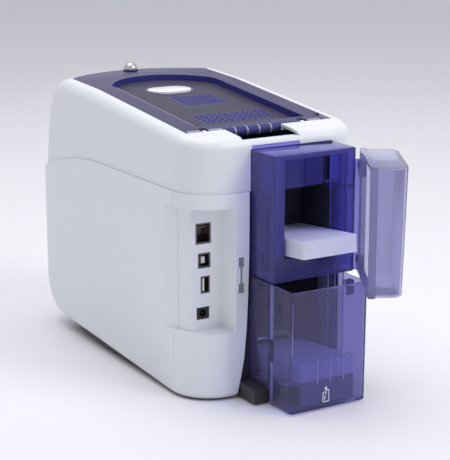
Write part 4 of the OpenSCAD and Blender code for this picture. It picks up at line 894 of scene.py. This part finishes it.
# ---------------------------------------------------------------- floor, light and camera
floor = new_mesh("studio_floor", [(x * FLOOR_REACH, y * FLOOR_REACH, 0)
                                  for x, y in ((-1, -1), (1, -1), (1, 1), (-1, 1))], [(0, 1, 2, 3)])
pale = bpy.data.materials.new("studio_pale")
pale.use_nodes = True
nodes, links = pale.node_tree.nodes, pale.node_tree.links
shader = nodes["Principled BSDF"]
shader.inputs["Base Color"].default_value = (0.88, 0.88, 0.9, 1)
shader.inputs["Roughness"].default_value = 0.7
floor.data.materials.append(pale)

world = bpy.data.worlds.new("studio")
bpy.context.scene.world = world
world.use_nodes = True
nodes, links = world.node_tree.nodes, world.node_tree.links
air = nodes["Background"]
air.inputs["Color"].default_value = (0.92, 0.93, 1.0, 1)
path = nodes.new("ShaderNodeLightPath")
seen = nodes.new("ShaderNodeMath")
seen.operation = "MAXIMUM"
links.new(path.outputs["Is Camera Ray"], seen.inputs[0])
links.new(path.outputs["Is Transmission Ray"], seen.inputs[1])
seen2 = nodes.new("ShaderNodeMath")
seen2.operation = "MAXIMUM"
links.new(seen.outputs[0], seen2.inputs[0])
links.new(path.outputs["Is Glossy Ray"], seen2.inputs[1])
level = nodes.new("ShaderNodeMapRange")
level.inputs["To Min"].default_value = 0.55
level.inputs["To Max"].default_value = 0.95
links.new(seen2.outputs[0], level.inputs["Value"])
links.new(level.outputs["Result"], air.inputs["Strength"])


def lamp(name, place, target, size, watts, color=(1, 1, 1)):
    data = bpy.data.lights.new(name, "AREA")
    data.shape = "RECTANGLE"
    data.size, data.size_y = size
    data.energy = watts
    data.color = color
    light = bpy.data.objects.new(name, data)
    light.location = place
    light.rotation_mode = "QUATERNION"
    light.rotation_quaternion = (Vector(target) - Vector(place)).to_track_quat("-Z", "Y")
    bpy.context.scene.collection.objects.link(light)


lamp("key_light", (0.9, -1.3, 1.5), (0, -0.05, 0.12), (1.0, 1.0), 14)
lamp("top_light", (-0.1, 0.3, 1.6), (0, 0, 0.15), (1.4, 1.4), 12)

lens = bpy.data.cameras.new("photo_view")
lens.sensor_width = 36.0
lens.lens = 115.04
lens.clip_start, lens.clip_end = 0.05, 20
camera = bpy.data.objects.new("photo_view", lens)
turn, rise = math.radians(31.0), math.radians(14.0)
look = Vector((math.sin(turn) * math.cos(rise), math.cos(turn) * math.cos(rise), -math.sin(rise)))
camera.location = (-0.6598, -1.1525, 0.4410)
camera.rotation_mode = "QUATERNION"
camera.rotation_quaternion = look.to_track_quat("-Z", "Y")
bpy.context.scene.collection.objects.link(camera)
bpy.context.scene.camera = camera
bpy.context.scene.view_settings.view_transform = "Standard"
